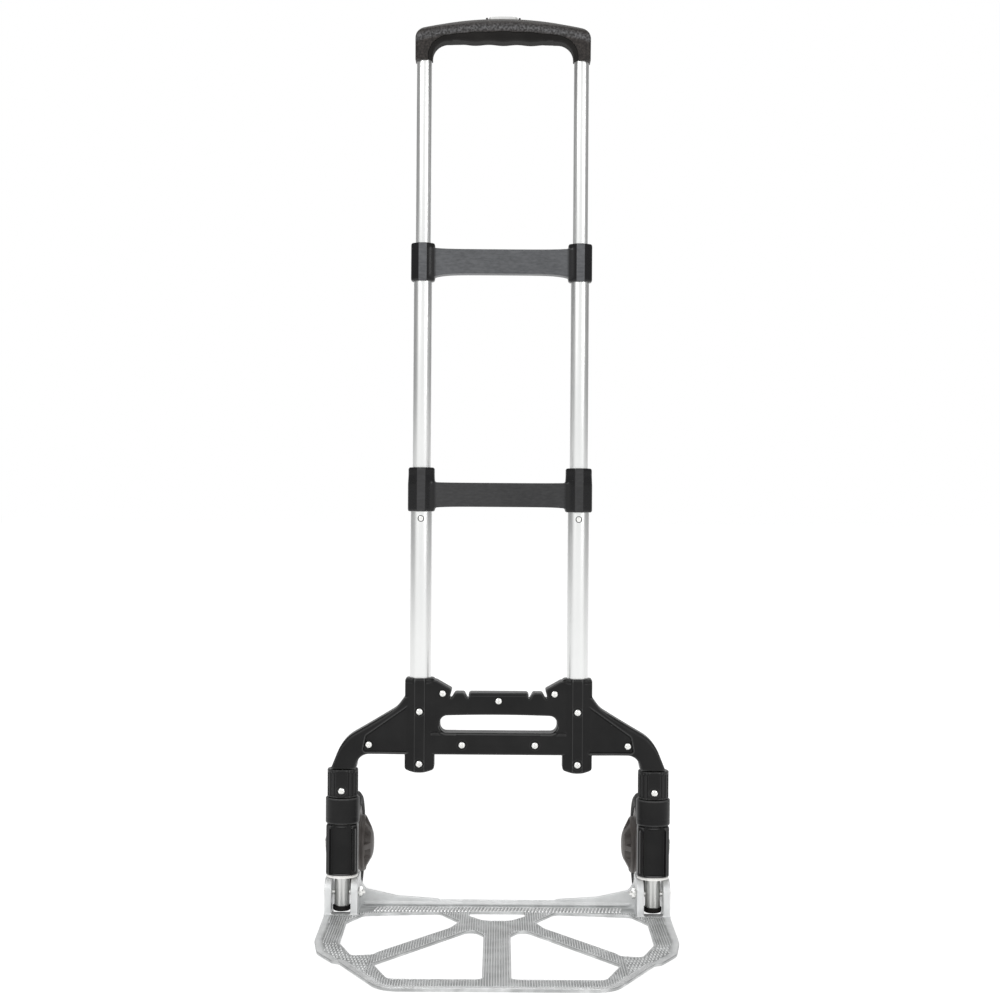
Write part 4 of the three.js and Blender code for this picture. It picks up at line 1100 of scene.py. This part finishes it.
def bracket_field(x, y, z):
    """Ring, sleeve, gusset, web and boss melted together, less the bores."""
    u = x - leg_x
    away = np.hypot(u, y)
    lines = sum(0.3 * tent(z - ring_top + drop, 0.5) for drop in (2.2, 8.2, 22))
    ring = thick(away - RING_RADIUS + lines, z, sleeve_top + NECK - 1.5, ring_top, 1.2)
    neck = thick(away - 16.2, z, sleeve_top - 2, ring_top - 3, 0.5)
    cheek = (np.abs(u) * 0.809 + np.abs(y) * 0.588) - (17.35 * 0.809 + 8 * 0.588)
    section = larger(np.abs(u) - SLEEVE_HALF[0], np.abs(y) - SLEEVE_HALF[1], cheek)
    sleeve = thick(section, z, sleeve_bottom, sleeve_top, 1.4)
    bead = np.maximum(np.abs(np.abs(u) - 12.1) - 0.4, y + 13.6)
    sleeve = melt(sleeve, thick(bead, z, sleeve_bottom + 1.5, sleeve_top - 1.5) + 0 * x, 0.3)
    sill = thick(away - 17.3, z, sleeve_bottom, sleeve_bottom + 2.2, 0.6)
    sleeve = melt(sleeve, sill, 2.0)
    rib = block(x, y, z, (leg_x - 14.9, -10.9, (sleeve_top + sleeve_bottom) / 2), (0.8, 2.0, 24), 0.6)
    shape = melt(melt(sleeve, neck, 1.0), ring, 1.0)
    shape = melt(shape, rib, 0.5)
    web_edge = outline(y[0, :, :], z[0, :, :], web_outline)[None]
    hollow = 2.0 * ramp(-web_edge, 4.5, 1.2)
    web = larger(web_edge, arm_inner - x, x - arm_outer + hollow)
    gusset = block(x, y, z, ((leg_x + 4 + arm_outer) / 2, 11.6, (sleeve_bottom + sleeve_top) / 2),
                   ((arm_outer - leg_x - 4) / 2, 2.6, (sleeve_top - sleeve_bottom) / 2 - 2), 0.8)
    shape = melt(melt(shape, gusset, 1.5), web, 2.0)
    out = ramp(x, arm_outer, boss_tip - arm_outer)
    from_axle = np.hypot(y - wheel_y, z - wheel_z)
    boss = thick(from_axle - (BOSS_RADIUS - 4.5 * out), x, arm_inner + 1, boss_tip, 1.6)
    shape = melt(shape, boss, 2.0)
    shape = carve(shape, thick(from_axle - 8.2, x, boss_tip - 0.5, boss_tip + 5), 0.3)
    shape = carve(shape, from_axle - AXLE_BORE)
    bore = radius_of("leg_tube_right") + SLIDE_GAP
    shape = carve(shape, away - bore)
    return carve(shape, np.maximum(away - 12.8, z - (ring_top - BEARING - 3)), 1.0)


made = skin(bracket_field, bracket_low - 0.8, bracket_high + 0.8, (0.8, 0.85, 0.85))
put_pair("bracket_{}_cast", made, frame_black, "bracket_{}", "wheel_bracket_{}", "black_plastic", weld=False)
print("wheel bracket:", len(made[1]), "faces")

# %% Cam rings
for side, sign in SIDES.items():
    low, high = span(f"cam_ring_{side}")
    outer, inner = radius_of(f"cam_ring_{side}"), radius_of("leg_tube_right") + SLIDE_GAP
    ring = [(inner, low[2]), (outer, low[2]), (outer, low[2] + 1.9), (outer - 0.6, low[2] + 1.9),
            (outer - 0.6, high[2]), (inner, high[2])]
    made = turned(softened(ring, 0.35), (sign * leg_x, 0, 0), segments=96)
    put(f"cam_ring_{side}_turned", *made, nylon_white, f"bracket_{side}", [f"cam_ring_{side}"], "nylon")
print("cam rings: 2")

# %% [markdown]
# ## Wheels
# The tyre is a rounded tread with two grooves round it. The rim is one moulding: a dome towards
# the middle of the truck, cut into six spokes by triangular hollows, and a dish on the other side.

# %% Tyres and rims
RIM_SEAT = 44
SPOKES = 6


def wheel_surfaces():
    """Profiles are (radius, x) pairs of the right-hand wheel, turned round the axle."""
    near, far = tyre_low[0], tyre_high[0]
    width = far - near
    tyre = [(RIM_SEAT, near + 1.5), (RIM_SEAT + 5, near), (wheel_radius - 6, near + 0.1),
            (wheel_radius - 1.2, near + 3.6), (wheel_radius, near + 7.4), (wheel_radius, near + 9),
            (wheel_radius - 1, near + 9.4), (wheel_radius - 1, near + 10.4), (wheel_radius, near + 10.8),
            (wheel_radius, near + width / 2)]
    other = [(r, near + far - h) for r, h in tyre[:-1]][::-1]
    tyre = softened(tyre + other, 1.6, 5)
    dome = span("rim_right")[0][0]
    seat = RIM_SEAT - 0.3
    back = far - 1.5
    web = near + width / 2 + 4
    rim = [(0, dome), (8, dome + 0.1), (12.5, near - 13.4), (18.5, near - 11.2), (21, near - 9.9),
           (27, near - 6.9), (31, near - 4.9), (32.5, near - 3.4), (32.5, near), (34, near + 1.8),
           (seat - 1.5, near + 2.1), (seat, near + 2.6), (seat, back), (seat - 3.5, back), (seat - 5, web),
           (13, web), (12, far - 0.5), (4.35, far - 0.5), (4.35, dome + 3), (0, dome + 3)]
    rim = softened(rim, 1.3, 4, closed=False)
    steps = np.arange(4 * len(rim) - 3) / 4
    rim = np.stack([np.interp(steps, np.arange(len(rim)), column) for column in rim.T], 1)

    def spokes(a, r, h):
        """Between the spokes the dome sinks by 6 mm, in a hollow that narrows towards the hub."""
        around = np.abs(np.mod(a * SPOKES / (2 * np.pi), 1) - 0.5) * 2 * np.pi / SPOKES * r
        gap = ramp(np.pi / SPOKES * r - around, 3.2, 1.2)
        band = ramp(r, 17.5, 1.5) * ramp(r, 30.5, -1.2)
        return r, h + 6.0 * gap * band * (h < near + 3)

    axle_place = (0, wheel_y, wheel_z)
    return turned(tyre, axle_place, "x", 160), turned(rim, axle_place, "x", 192, spokes)


tyre_made, rim_made = wheel_surfaces()
put_pair("tyre_{}_tread", tyre_made, tyre_rubber, "wheel_{}", "tyre_{}", "tyre_rubber")
put_pair("rim_{}_spoked", rim_made, hub_grey, "wheel_{}", "rim_{}", "hub_plastic", sharp=32)
print("wheels:", len(tyre_made[1]) + len(rim_made[1]), "faces each")

# %% Axles
axle_in, axle_out = span("axle_right")[0][0], span("axle_right")[1][0]
pin = [(0, axle_in), (3.4, axle_in), (4, axle_in + 0.6), (4, axle_out - 1.8), (7, axle_out - 1.8),
       (7, axle_out - 1.1), (5.8, axle_out - 0.3), (3.4, axle_out), (3.0, axle_out - 0.7),
       (0, axle_out - 0.7)]
made = turned(softened(pin, 0.3, 3, closed=False), (0, wheel_y, wheel_z), "x", 48)
put_pair("axle_{}_pin", made, zinc, "bracket_{}", "axle_{}", "zinc_steel")
print("axles: 2")

# %% [markdown]
# ## Toe plate
# The toe plate is one aluminium casting: a tray of straps round five openings, a flange along the
# back, and two pairs of ears that hinge on the leg tubes. Its outline and its openings are polygons
# with rounded corners. The tray's upper face has a raised border, so its height depends on the
# distance to the nearest edge.

# %% Toe plate measures
plate_low, plate_high = span("toe_plate")
PLATE_THICK = 4
OUTER_BORDER = 8.2
INNER_BORDER = 2.4
GROOVE = 1.0
PIVOT_Z = middle("pivot_bolt_right")[2]
plate_side = plate_high[0]
plate_front, plate_rear = plate_low[1], plate_high[1]
strap_in = plate_side - 27.5
corner_y = plate_front + 120
corner_x = plate_side - 77
ear_in = (leg_x - 18.4, leg_x - 10.55)
ear_out = (leg_x + 10.55, leg_x + 18.4)
tray_outline = arcs([
    (-40, plate_rear, 0), (ear_in[1], plate_rear, 0), (ear_in[1], -2, 5), (ear_out[0], -2, 5),
    (ear_out[0], plate_rear, 0), (plate_side, plate_rear, 0), (plate_side, -15, 0),
    (plate_side - 1.3, corner_y + 42, 30), (plate_side - 8.3, corner_y, 25),
    (plate_side - 26, corner_y - 30, 6), (plate_side - 34, corner_y - 34, 4),
    (corner_x - 2.6, plate_front, 30), (-40, plate_front, 0),
], 0.1)
side_opening = arcs([
    (strap_in, -42, 14), (strap_in - 16, -9, 8), (strap_in - 59, -3.5, 0), (64, 0.5, 8), (41, -38, 7),
    (51, -65, 12), (strap_in - 43, corner_y + 3, 6), (strap_in - 38, corner_y - 7.5, 6),
    (strap_in - 17, corner_y - 11.5, 6), (strap_in - 1, corner_y + 34, 15),
], 0.15)
front_opening = arcs([
    (strap_in - 41, corner_y - 38.3, 3), (27, -69.5, 8), (14.2, -92, 10), (14.2, plate_front + 31, 6),
    (strap_in - 58.8, plate_front + 31, 8), (strap_in - 47.3, corner_y - 57, 8),
], 0.15)
centre_opening = arcs([
    (-40, 3.5, 0), (30.5, 3.5, 3), (30.5, -15, 6), (14, -34.5, 14), (-40, -34.5, 0),
], 0.15)


def tray_edges(x, y):
    """Distances to the outer edge and to the nearest opening, negative on the tray's material."""
    ax = np.abs(x)
    holes = [-outline(ax, y, opening) for opening in (side_opening, front_opening, centre_opening)]
    return outline(ax, y, tray_outline), larger(*holes)


def tray_field(x, y, z):
    """The tray: a slab whose upper face falls inside its border, and in a line under the flange."""
    outer, inner = tray_edges(x[:, :, 0], y[:, :, 0])
    floor = ramp(np.minimum(-outer - OUTER_BORDER, -inner - INNER_BORDER), -1)
    from_seam = np.abs(y[:, :, 0] - plate_rear + 5.2)
    seam = 1.4 * ramp(from_seam, 1.2, -0.6) * ramp(np.abs(x[:, :, 0]), ear_in[0] - 5, -1)
    top = PLATE_THICK - 0.1 - np.maximum(floor * GROOVE, seam)[:, :, None]
    return thick(np.maximum(outer, inner)[:, :, None], z, 0, top, 1.2)


tray_box = (plate_low[0] - 1, plate_front - 1, -0.6), (plate_side + 1, plate_rear + 1, PLATE_THICK + 0.6)
made = skin(tray_field, *tray_box, (1.35, 1.35, 0.65))
put("plate_tray", *made, ribbed_aluminium, "toe_plate", ["toe_plate"], "cast_aluminium", weld=False)
print("tray:", len(made[1]), "faces")

# %% Flange and ears
flange_outline = arcs([
    (-40, 0.6, 0), (ear_in[1], 0.6, 0), (ear_in[1], 44, 3), (ear_in[0] + 1, 44, 3),
    (ear_in[0] - 0.3, 32, 2), (ear_in[0] - 5.5, 22.8, 6), (ear_in[0] - 42, 14.9, 0), (67, 11.9, 0),
    (65, 10.6, 0), (-40, 10.6, 0),
])
ear_top = PIVOT_Z + 16.7
EAR_REAR = 24
EAR_FRONT = -15
BOLT_HOLE = 3.05


def ear_outline(rear_height):
    """An ear seen from the side: rounded at the front, and falling to rear_height at the back."""
    return arcs([(EAR_FRONT, 0.6, 0), (EAR_FRONT, ear_top, 14), (9, ear_top, 4), (plate_rear, rear_height, 3),
                 (plate_rear, 0.6, 0)], 0.15)


def flange_field(x, y, z):
    """An upright web along the back edge, with its top following the outline."""
    flat = outline(np.abs(x[:, 0, :]), z[:, 0, :], flange_outline)[:, None, :]
    web = thick(flat, y, plate_rear - 4, plate_rear, 0.9)
    bead = block(x, y, z, (0, plate_rear - 3.6, 6.2), (ear_in[0] - 4, 1.6, 1.7), 1.2)
    return melt(web, bead, 0.8)


def ears_field(x, y, z):
    """Two ears with a raised ring round the bolt, and a fillet to the tray."""
    tall = outline(y[0], z[0], ear_outline(ear_top))[None]
    short = outline(y[0], z[0], ear_outline(EAR_REAR))[None]
    away = np.hypot(y, z - PIVOT_Z)
    shape = None
    for flat, (low, high) in ((tall, ear_in), (short, ear_out)):
        sunk = 0.5 * ramp(-flat, 2.2, 0.8) * ramp(away, 8.6, 0.8)
        ear = thick(flat, x, low + sunk, high - sunk, 0.9)
        shape = ear if shape is None else np.minimum(shape, ear)
    base_middle, base_half = (plate_rear + EAR_FRONT) / 2, (plate_rear - EAR_FRONT) / 2
    base = block(x, y, z, (leg_x, base_middle, 2.2), (18.3, base_half, 1.5), 0.5)
    slot = block(x, y, z, (leg_x, plate_rear / 2 + 10, 2), (10.55, plate_rear / 2 + 12, 9), 0.5)
    shape = melt(shape, carve(base, slot), 2.2)
    return carve(shape, away - BOLT_HOLE)


flange_box = (-ear_in[1] - 1, plate_rear - 6, -0.5), (ear_in[1] + 1, plate_rear + 1, 45)
made = skin(flange_field, *flange_box, (1.2, 0.6, 0.7))
put("plate_flange", *made, cast_aluminium, "toe_plate", slot="cast_aluminium", weld=False)
made = skin(ears_field, (ear_in[0] - 1, -16, 0), (ear_out[1] + 1, plate_rear + 1, 45), 0.75)
for side, surface in (("right", made), ("left", mirrored(made))):
    put(f"plate_ears_{side}", *surface, cast_aluminium, "toe_plate", slot="cast_aluminium", weld=False)
print("ears:", 2 * len(made[1]), "faces")

# %% Leg plugs, black as the shade between the ears
tube_end = span("leg_tube_right")[0][2]
# Painted shade: a rubber plug closes the end of each leg tube, and its foot, as wide as the gap between the
# ears, is black to stand in for the shade there.
shade_plug = [(0, tube_end - 5.2), (8.6, tube_end - 5.2), (9.9, tube_end - 4), (10.2, tube_end - 0.2),
        (6.9, tube_end - 0.2), (6.9, tube_end + 9), (6.2, tube_end + 10), (0, tube_end + 10)]
for side, sign in SIDES.items():
    made = turned(shade_plug, (sign * leg_x, 0, 0), segments=64)
    put(f"leg_shade_plug_{side}", *made, grip_rubber, "base", slot="black_plastic")
print("leg plugs: 2")

# %% [markdown]
# Fine ribs run fore and aft over the straps, and small studs cover the front corners, so that a
# load doesn't slip. A rib is a long prism between two crossings of a line with the tray's edge, so
# the crossings are found first, on all lines together.

# %% Ribs and studs
BLOCK_FACES = np.array([(3, 2, 1, 0), (4, 5, 6, 7), (0, 1, 5, 4), (1, 2, 6, 5), (2, 3, 7, 6), (3, 0, 4, 7)])


def blocks(feet, tops, low, high):
    """Six-sided blocks from their four corners (x, y) at the heights low and high."""
    rings = ((feet, low), (tops, high))
    points = np.concatenate([np.dstack([xy, np.full(xy.shape[:2], z)]) for xy, z in rings], 1)
    faces = (np.arange(len(points))[:, None, None] * 8 + BLOCK_FACES).reshape(-1, 4)
    return points.reshape(-1, 3), faces


def prisms(starts, ends, half_width, low, high):
    """A bar from each start to each end, both (x, y), with a top half as wide as its foot."""
    along = ends - starts
    along /= np.linalg.norm(along, axis=1, keepdims=True)
    across = np.stack([-along[:, 1], along[:, 0]], 1)

    def ring(width, inset):
        """The four corners of each bar, anticlockwise, drawn in by inset at both ends."""
        a, b = starts + along * inset, ends - along * inset
        return np.stack([a - across * width, b - across * width, b + across * width, a + across * width], 1)

    return blocks(ring(half_width, 0), ring(half_width * 0.5, half_width * 0.6), low, high)


SHORTEST_RIB = 3


def stretches(lines_x, inside):
    """Starts and ends, along Y, of the stretches of each line x = const where inside(x, y) holds."""
    ys = np.linspace(plate_front, plate_rear, 1241)
    held = inside(lines_x[:, None], ys[None, :])
    change = np.diff(held.astype(int), axis=1, prepend=0, append=0)
    up, down = np.nonzero(change == 1), np.nonzero(change == -1)
    starts = np.column_stack([lines_x[up[0]], ys[up[1]]])
    ends = np.column_stack([lines_x[down[0]], ys[down[1] - 1]])
    long = ends[:, 1] - starts[:, 1] > SHORTEST_RIB
    return starts[long], ends[long]


RIB_PITCH = 2.6
low_face = PLATE_THICK - 0.2 - GROOVE
top_face = PLATE_THICK - 0.1


def studded(x, y):
    """The front corners, where studs take the place of ribs."""
    ax = np.abs(x)
    return (ax > strap_in - 35) & (y < corner_y + 30) & (y > corner_y - 75)


def inside_border(x, y):
    """Where the tray's face lies lower than its border."""
    outer, inner = tray_edges(x, y)
    return (outer < -OUTER_BORDER - 0.3) & (inner < -INNER_BORDER - 0.3)


def ribbed(x, y):
    """Everywhere inside the border but at the studs and under the flange."""
    return inside_border(x, y) & ~studded(x, y) & (y < -1)


rib_x = np.arange(-72, 73) * RIB_PITCH
starts, ends = stretches(rib_x, ribbed)
made = prisms(starts, ends, 0.85, low_face, top_face)
put("plate_ribs", *made, ribbed_aluminium, "toe_plate", slot="cast_aluminium", sharp=20)
print("ribs:", len(starts))

STUD_ACROSS, STUD_ALONG = 3.4, 8.0
row, column = np.meshgrid(np.arange(-36, -14), np.arange(-57, 58), indexing="ij")
grid_x, grid_y = (column + 0.5 * (row % 2)) * STUD_ACROSS, row * STUD_ALONG
keep = studded(grid_x, grid_y) & inside_border(grid_x, grid_y)
studs = np.stack([grid_x[keep], grid_y[keep]], 1)[:, None]
corners = np.array([(-1, -1), (1, -1), (1, 1), (-1, 1)])
made = blocks(studs + corners * (1.2, 2.9), studs + corners * (0.7, 2.2), low_face, top_face)
put("plate_studs", *made, ribbed_aluminium, "toe_plate", slot="cast_aluminium", sharp=20)
print("studs:", len(studs))

SLANT_PITCH = 3.9
bar_x = np.arange(-35, 36) * SLANT_PITCH
bar_starts = np.column_stack([bar_x, np.full(len(bar_x), 4.0)])
bar_ends = np.column_stack([bar_x + 2.6, np.full(len(bar_x), 20.5)])
made = prisms(bar_starts, bar_ends, 1.0, low_face, top_face + 0.05)
put("plate_slants", *made, bright_bar_aluminium, "toe_plate", slot="cast_aluminium", sharp=20)
print("slanted bars:", len(bar_x))

# %% [markdown]
# A bolt through each pair of ears and the leg tube between them is the hinge. Its domed head has a
# hexagonal socket, and the nut on the other end has chamfered corners.

# %% Pivot bolts and nuts
bolt_low, bolt_high = span("pivot_bolt_right")
nut_low, nut_high = span("pivot_nut_right")


def hexagonal(across_flats, inner_radius):
    """Radius at angle a of a hexagon: half its width over cos of the angle from the nearest flat."""
    def shape(a, r, h):
        """Cuts the radius down to the hexagon, outside inner_radius only."""
        off = np.mod(a + np.pi / 6, np.pi / 3) - np.pi / 6
        flat = across_flats / 2 / np.cos(off)
        return np.where(r > inner_radius, np.minimum(r, flat), r), h
    return shape


def socket_hex(a, r, h):
    """The socket's wall is a hexagon 5 mm across, and everything else stays round."""
    off = np.mod(a, np.pi / 3) - np.pi / 6
    return np.where((r > 1) & (r < 2.52), 2.3 / np.cos(off), r), h


tail, head = bolt_low[0], bolt_high[0]
bolt = [(0, tail), (2.3, tail), (2.75, tail + 0.5), (2.75, head - 2.2), (6, head - 2.2), (6, head - 1.5),
        (5.2, head - 0.6), (3.8, head), (2.5, head), (2.5, head - 1.4), (0, head - 1.4)]
bolt_made = turned(bolt, (0, 0, PIVOT_Z), "x", 72, socket_hex)
near, far = nut_low[0], nut_high[0]
nut = [(2.8, near + 0.3), (3.3, near), (4.9, near), (5.8, near + 0.6), (5.8, far - 0.6), (4.9, far),
       (3.3, far), (2.8, far - 0.3)]
nut_made = turned(nut, (0, 0, PIVOT_Z), "x", 72, hexagonal(10, 3.5))
put_pair("hinge_bolt_{}", bolt_made, zinc, "toe_plate", "pivot_bolt_{}", "zinc_steel", sharp=30)
put_pair("hinge_nut_{}", nut_made, zinc, "toe_plate", "pivot_nut_{}", "zinc_steel", sharp=30)
print("hinge bolts and nuts: 4")

# %% [markdown]
# ## Springs and inner parts
# Each spring is a wire carried along a helix: a circle in the plane across the helix, at every step
# of the way. Bushes, the yoke and the push rods sit inside the tubes and keep their plain solids,
# with finishes of their own.

# %% Springs
def coil(node, body, radius, wire, turns):
    """Wire circles along (radius cos t, radius sin t, rising), each across the helix's direction.
    The first and the last circle shrink to a point, which closes the ends."""
    low, high = span(node)
    centre = (low + high) / 2
    t = np.linspace(0, 1, int(turns * 40) + 1)[:, None]
    a = t * turns * 2 * np.pi
    rise = low[2] + wire + (high[2] - low[2] - 2 * wire) * t
    b = np.linspace(0, 2 * np.pi, 12, endpoint=False)[None, :]
    lean = (high[2] - low[2]) / (2 * np.pi * radius * turns)
    r = radius + wire * np.cos(b)
    x = centre[0] + r * np.cos(a) + wire * np.sin(b) * lean * np.sin(a)
    y = r * np.sin(a) - wire * np.sin(b) * lean * np.cos(a)
    z = rise + wire * np.sin(b)
    points = np.stack([x, y, z], -1)
    ends = [points[k:k + 1].mean(1, keepdims=True).repeat(12, 1) for k in (0, len(points) - 1)]
    points = np.concatenate([ends[0], points, ends[1]])
    made = points.reshape(-1, 3), weave(len(points), 12)
    return put(f"{node}_wire", *made, spring_steel, body, [node], "spring_steel", sharp=60)


release_wire = coil("release_spring", "handle_stage", 4, 0.5, 3.2)
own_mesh(release_wire)
for side in SIDES:
    coil(f"swivel_spring_{side}", f"bracket_{side}", 10.9, 0.8, 4)
print("springs: 3")

# %% Inner parts
inner_finish = {"nylon": nylon_white, "black_plastic": frame_black, "spring_steel": spring_steel}
inner_slots = {part["node"]: part["material_slot"] for part in frame["record"]["subparts"]}
kept = [node for node, solid in frame["nodes"].items() if not solid.hide_render]
for node in kept:
    solid = frame["nodes"][node]
    solid.data.materials.clear()
    solid.data.materials.append(inner_finish[inner_slots[node]])
print("kept solids:", sorted(kept))

# %% [markdown]
# ## Studio
# A pale floor without a horizon, light from a white sky that is greyer at the sides, and two large
# soft lamps. The grey sides are what shows the roundness of the bright tubes, so only what the
# metal reflects is grey: looked at directly, the sky is plain white like a paper backdrop.

# %% Floor
def floor_finish():
    """White paint that also glows a little, so that the floor is as white far away as it is near."""
    white = (1, 1, 1, 1)
    finish = Finish("floor_paint", Specular_IOR_Level=0.0, Emission_Strength=0.86, Emission_Color=white)
    cloud = finish.noise(2.0, 2)
    finish.paint(
        Base_Color=finish.between((0.3, 0.3, 0.3), (0.32, 0.32, 0.32), cloud),
        Roughness=cloud * 0.05 + 0.9,
    )
    return finish.material


FLOOR_HALF, FLOOR_DROP = 30, 0.0002
across = np.linspace(-FLOOR_HALF, FLOOR_HALF, 13)
floor_x, floor_y = np.meshgrid(across, across, indexing="ij")
floor_points = np.stack([floor_x, floor_y, floor_x * 0 - FLOOR_DROP], -1).reshape(-1, 3)
floor_mesh = bpy.data.meshes.new("floor")
floor_mesh.from_pydata(floor_points, [], weave(13, 13, wrap_columns=False))
floor_mesh.materials.append(floor_finish())
floor = bpy.data.objects.new("floor", floor_mesh)
bpy.context.scene.collection.objects.link(floor)
print("floor:", 2 * FLOOR_HALF, "m square")

# %% Sky and lamps
sky = bpy.data.worlds.new("studio_sky")
bpy.context.scene.world = sky
sky.use_nodes = True
tree = sky.node_tree
way = tree.nodes.new("ShaderNodeTexCoord")
parts = tree.nodes.new("ShaderNodeSeparateXYZ")
tree.links.new(way.outputs["Generated"], parts.inputs["Vector"])
bands = tree.nodes.new("ShaderNodeValToRGB")
SKY_WHITE, SKY_GREY = (1, 1, 1, 1), (0.3, 0.3, 0.3, 1)
stops = [(0.2, SKY_WHITE), (0.34, SKY_GREY), (0.91, SKY_GREY), (0.94, SKY_WHITE)]
bands.color_ramp.elements[0].position, bands.color_ramp.elements[0].color = stops[0]
bands.color_ramp.elements[1].position, bands.color_ramp.elements[1].color = stops[-1]
for position, colour in stops[1:-1]:
    bands.color_ramp.elements.new(position).color = colour
halfway = tree.nodes.new("ShaderNodeMath")
halfway.operation = "MULTIPLY_ADD"
halfway.inputs[1].default_value = 0.5
halfway.inputs[2].default_value = 0.5
tree.links.new(parts.outputs["Y"], halfway.inputs[0])
tree.links.new(halfway.outputs["Value"], bands.inputs["Fac"])
seen = tree.nodes.new("ShaderNodeLightPath")
backdrop = tree.nodes.new("ShaderNodeMix")
backdrop.data_type = "RGBA"
backdrop.inputs[7].default_value = SKY_WHITE
tree.links.new(seen.outputs["Is Camera Ray"], backdrop.inputs[0])
tree.links.new(bands.outputs["Color"], backdrop.inputs[6])
tree.links.new(backdrop.outputs[2], tree.nodes["Background"].inputs["Color"])
tree.nodes["Background"].inputs["Strength"].default_value = 1.0


def lamp(name, place, aim, size, power):
    """A square soft lamp at place, turned to face aim; metres and watts."""
    data = bpy.data.lights.new(name, "AREA")
    data.size = size
    data.energy = power
    made = bpy.data.objects.new(name, data)
    bpy.context.scene.collection.objects.link(made)
    made.location = place
    made.rotation_euler = (made.location - Vector(aim)).to_track_quat("Z", "Y").to_euler()


lamp("key", (-1.9, -2.2, 2.4), (0, 0, 0.5), 1.2, 26)
lamp("fill", (2.2, -2.0, 1.6), (0, 0, 0.4), 1.2, 14)
lamp("top", (0, 0.6, 3.2), (0, 0, 0), 2.0, 30)
bpy.context.scene.view_settings.view_transform = "Standard"
print("lamps: 3")
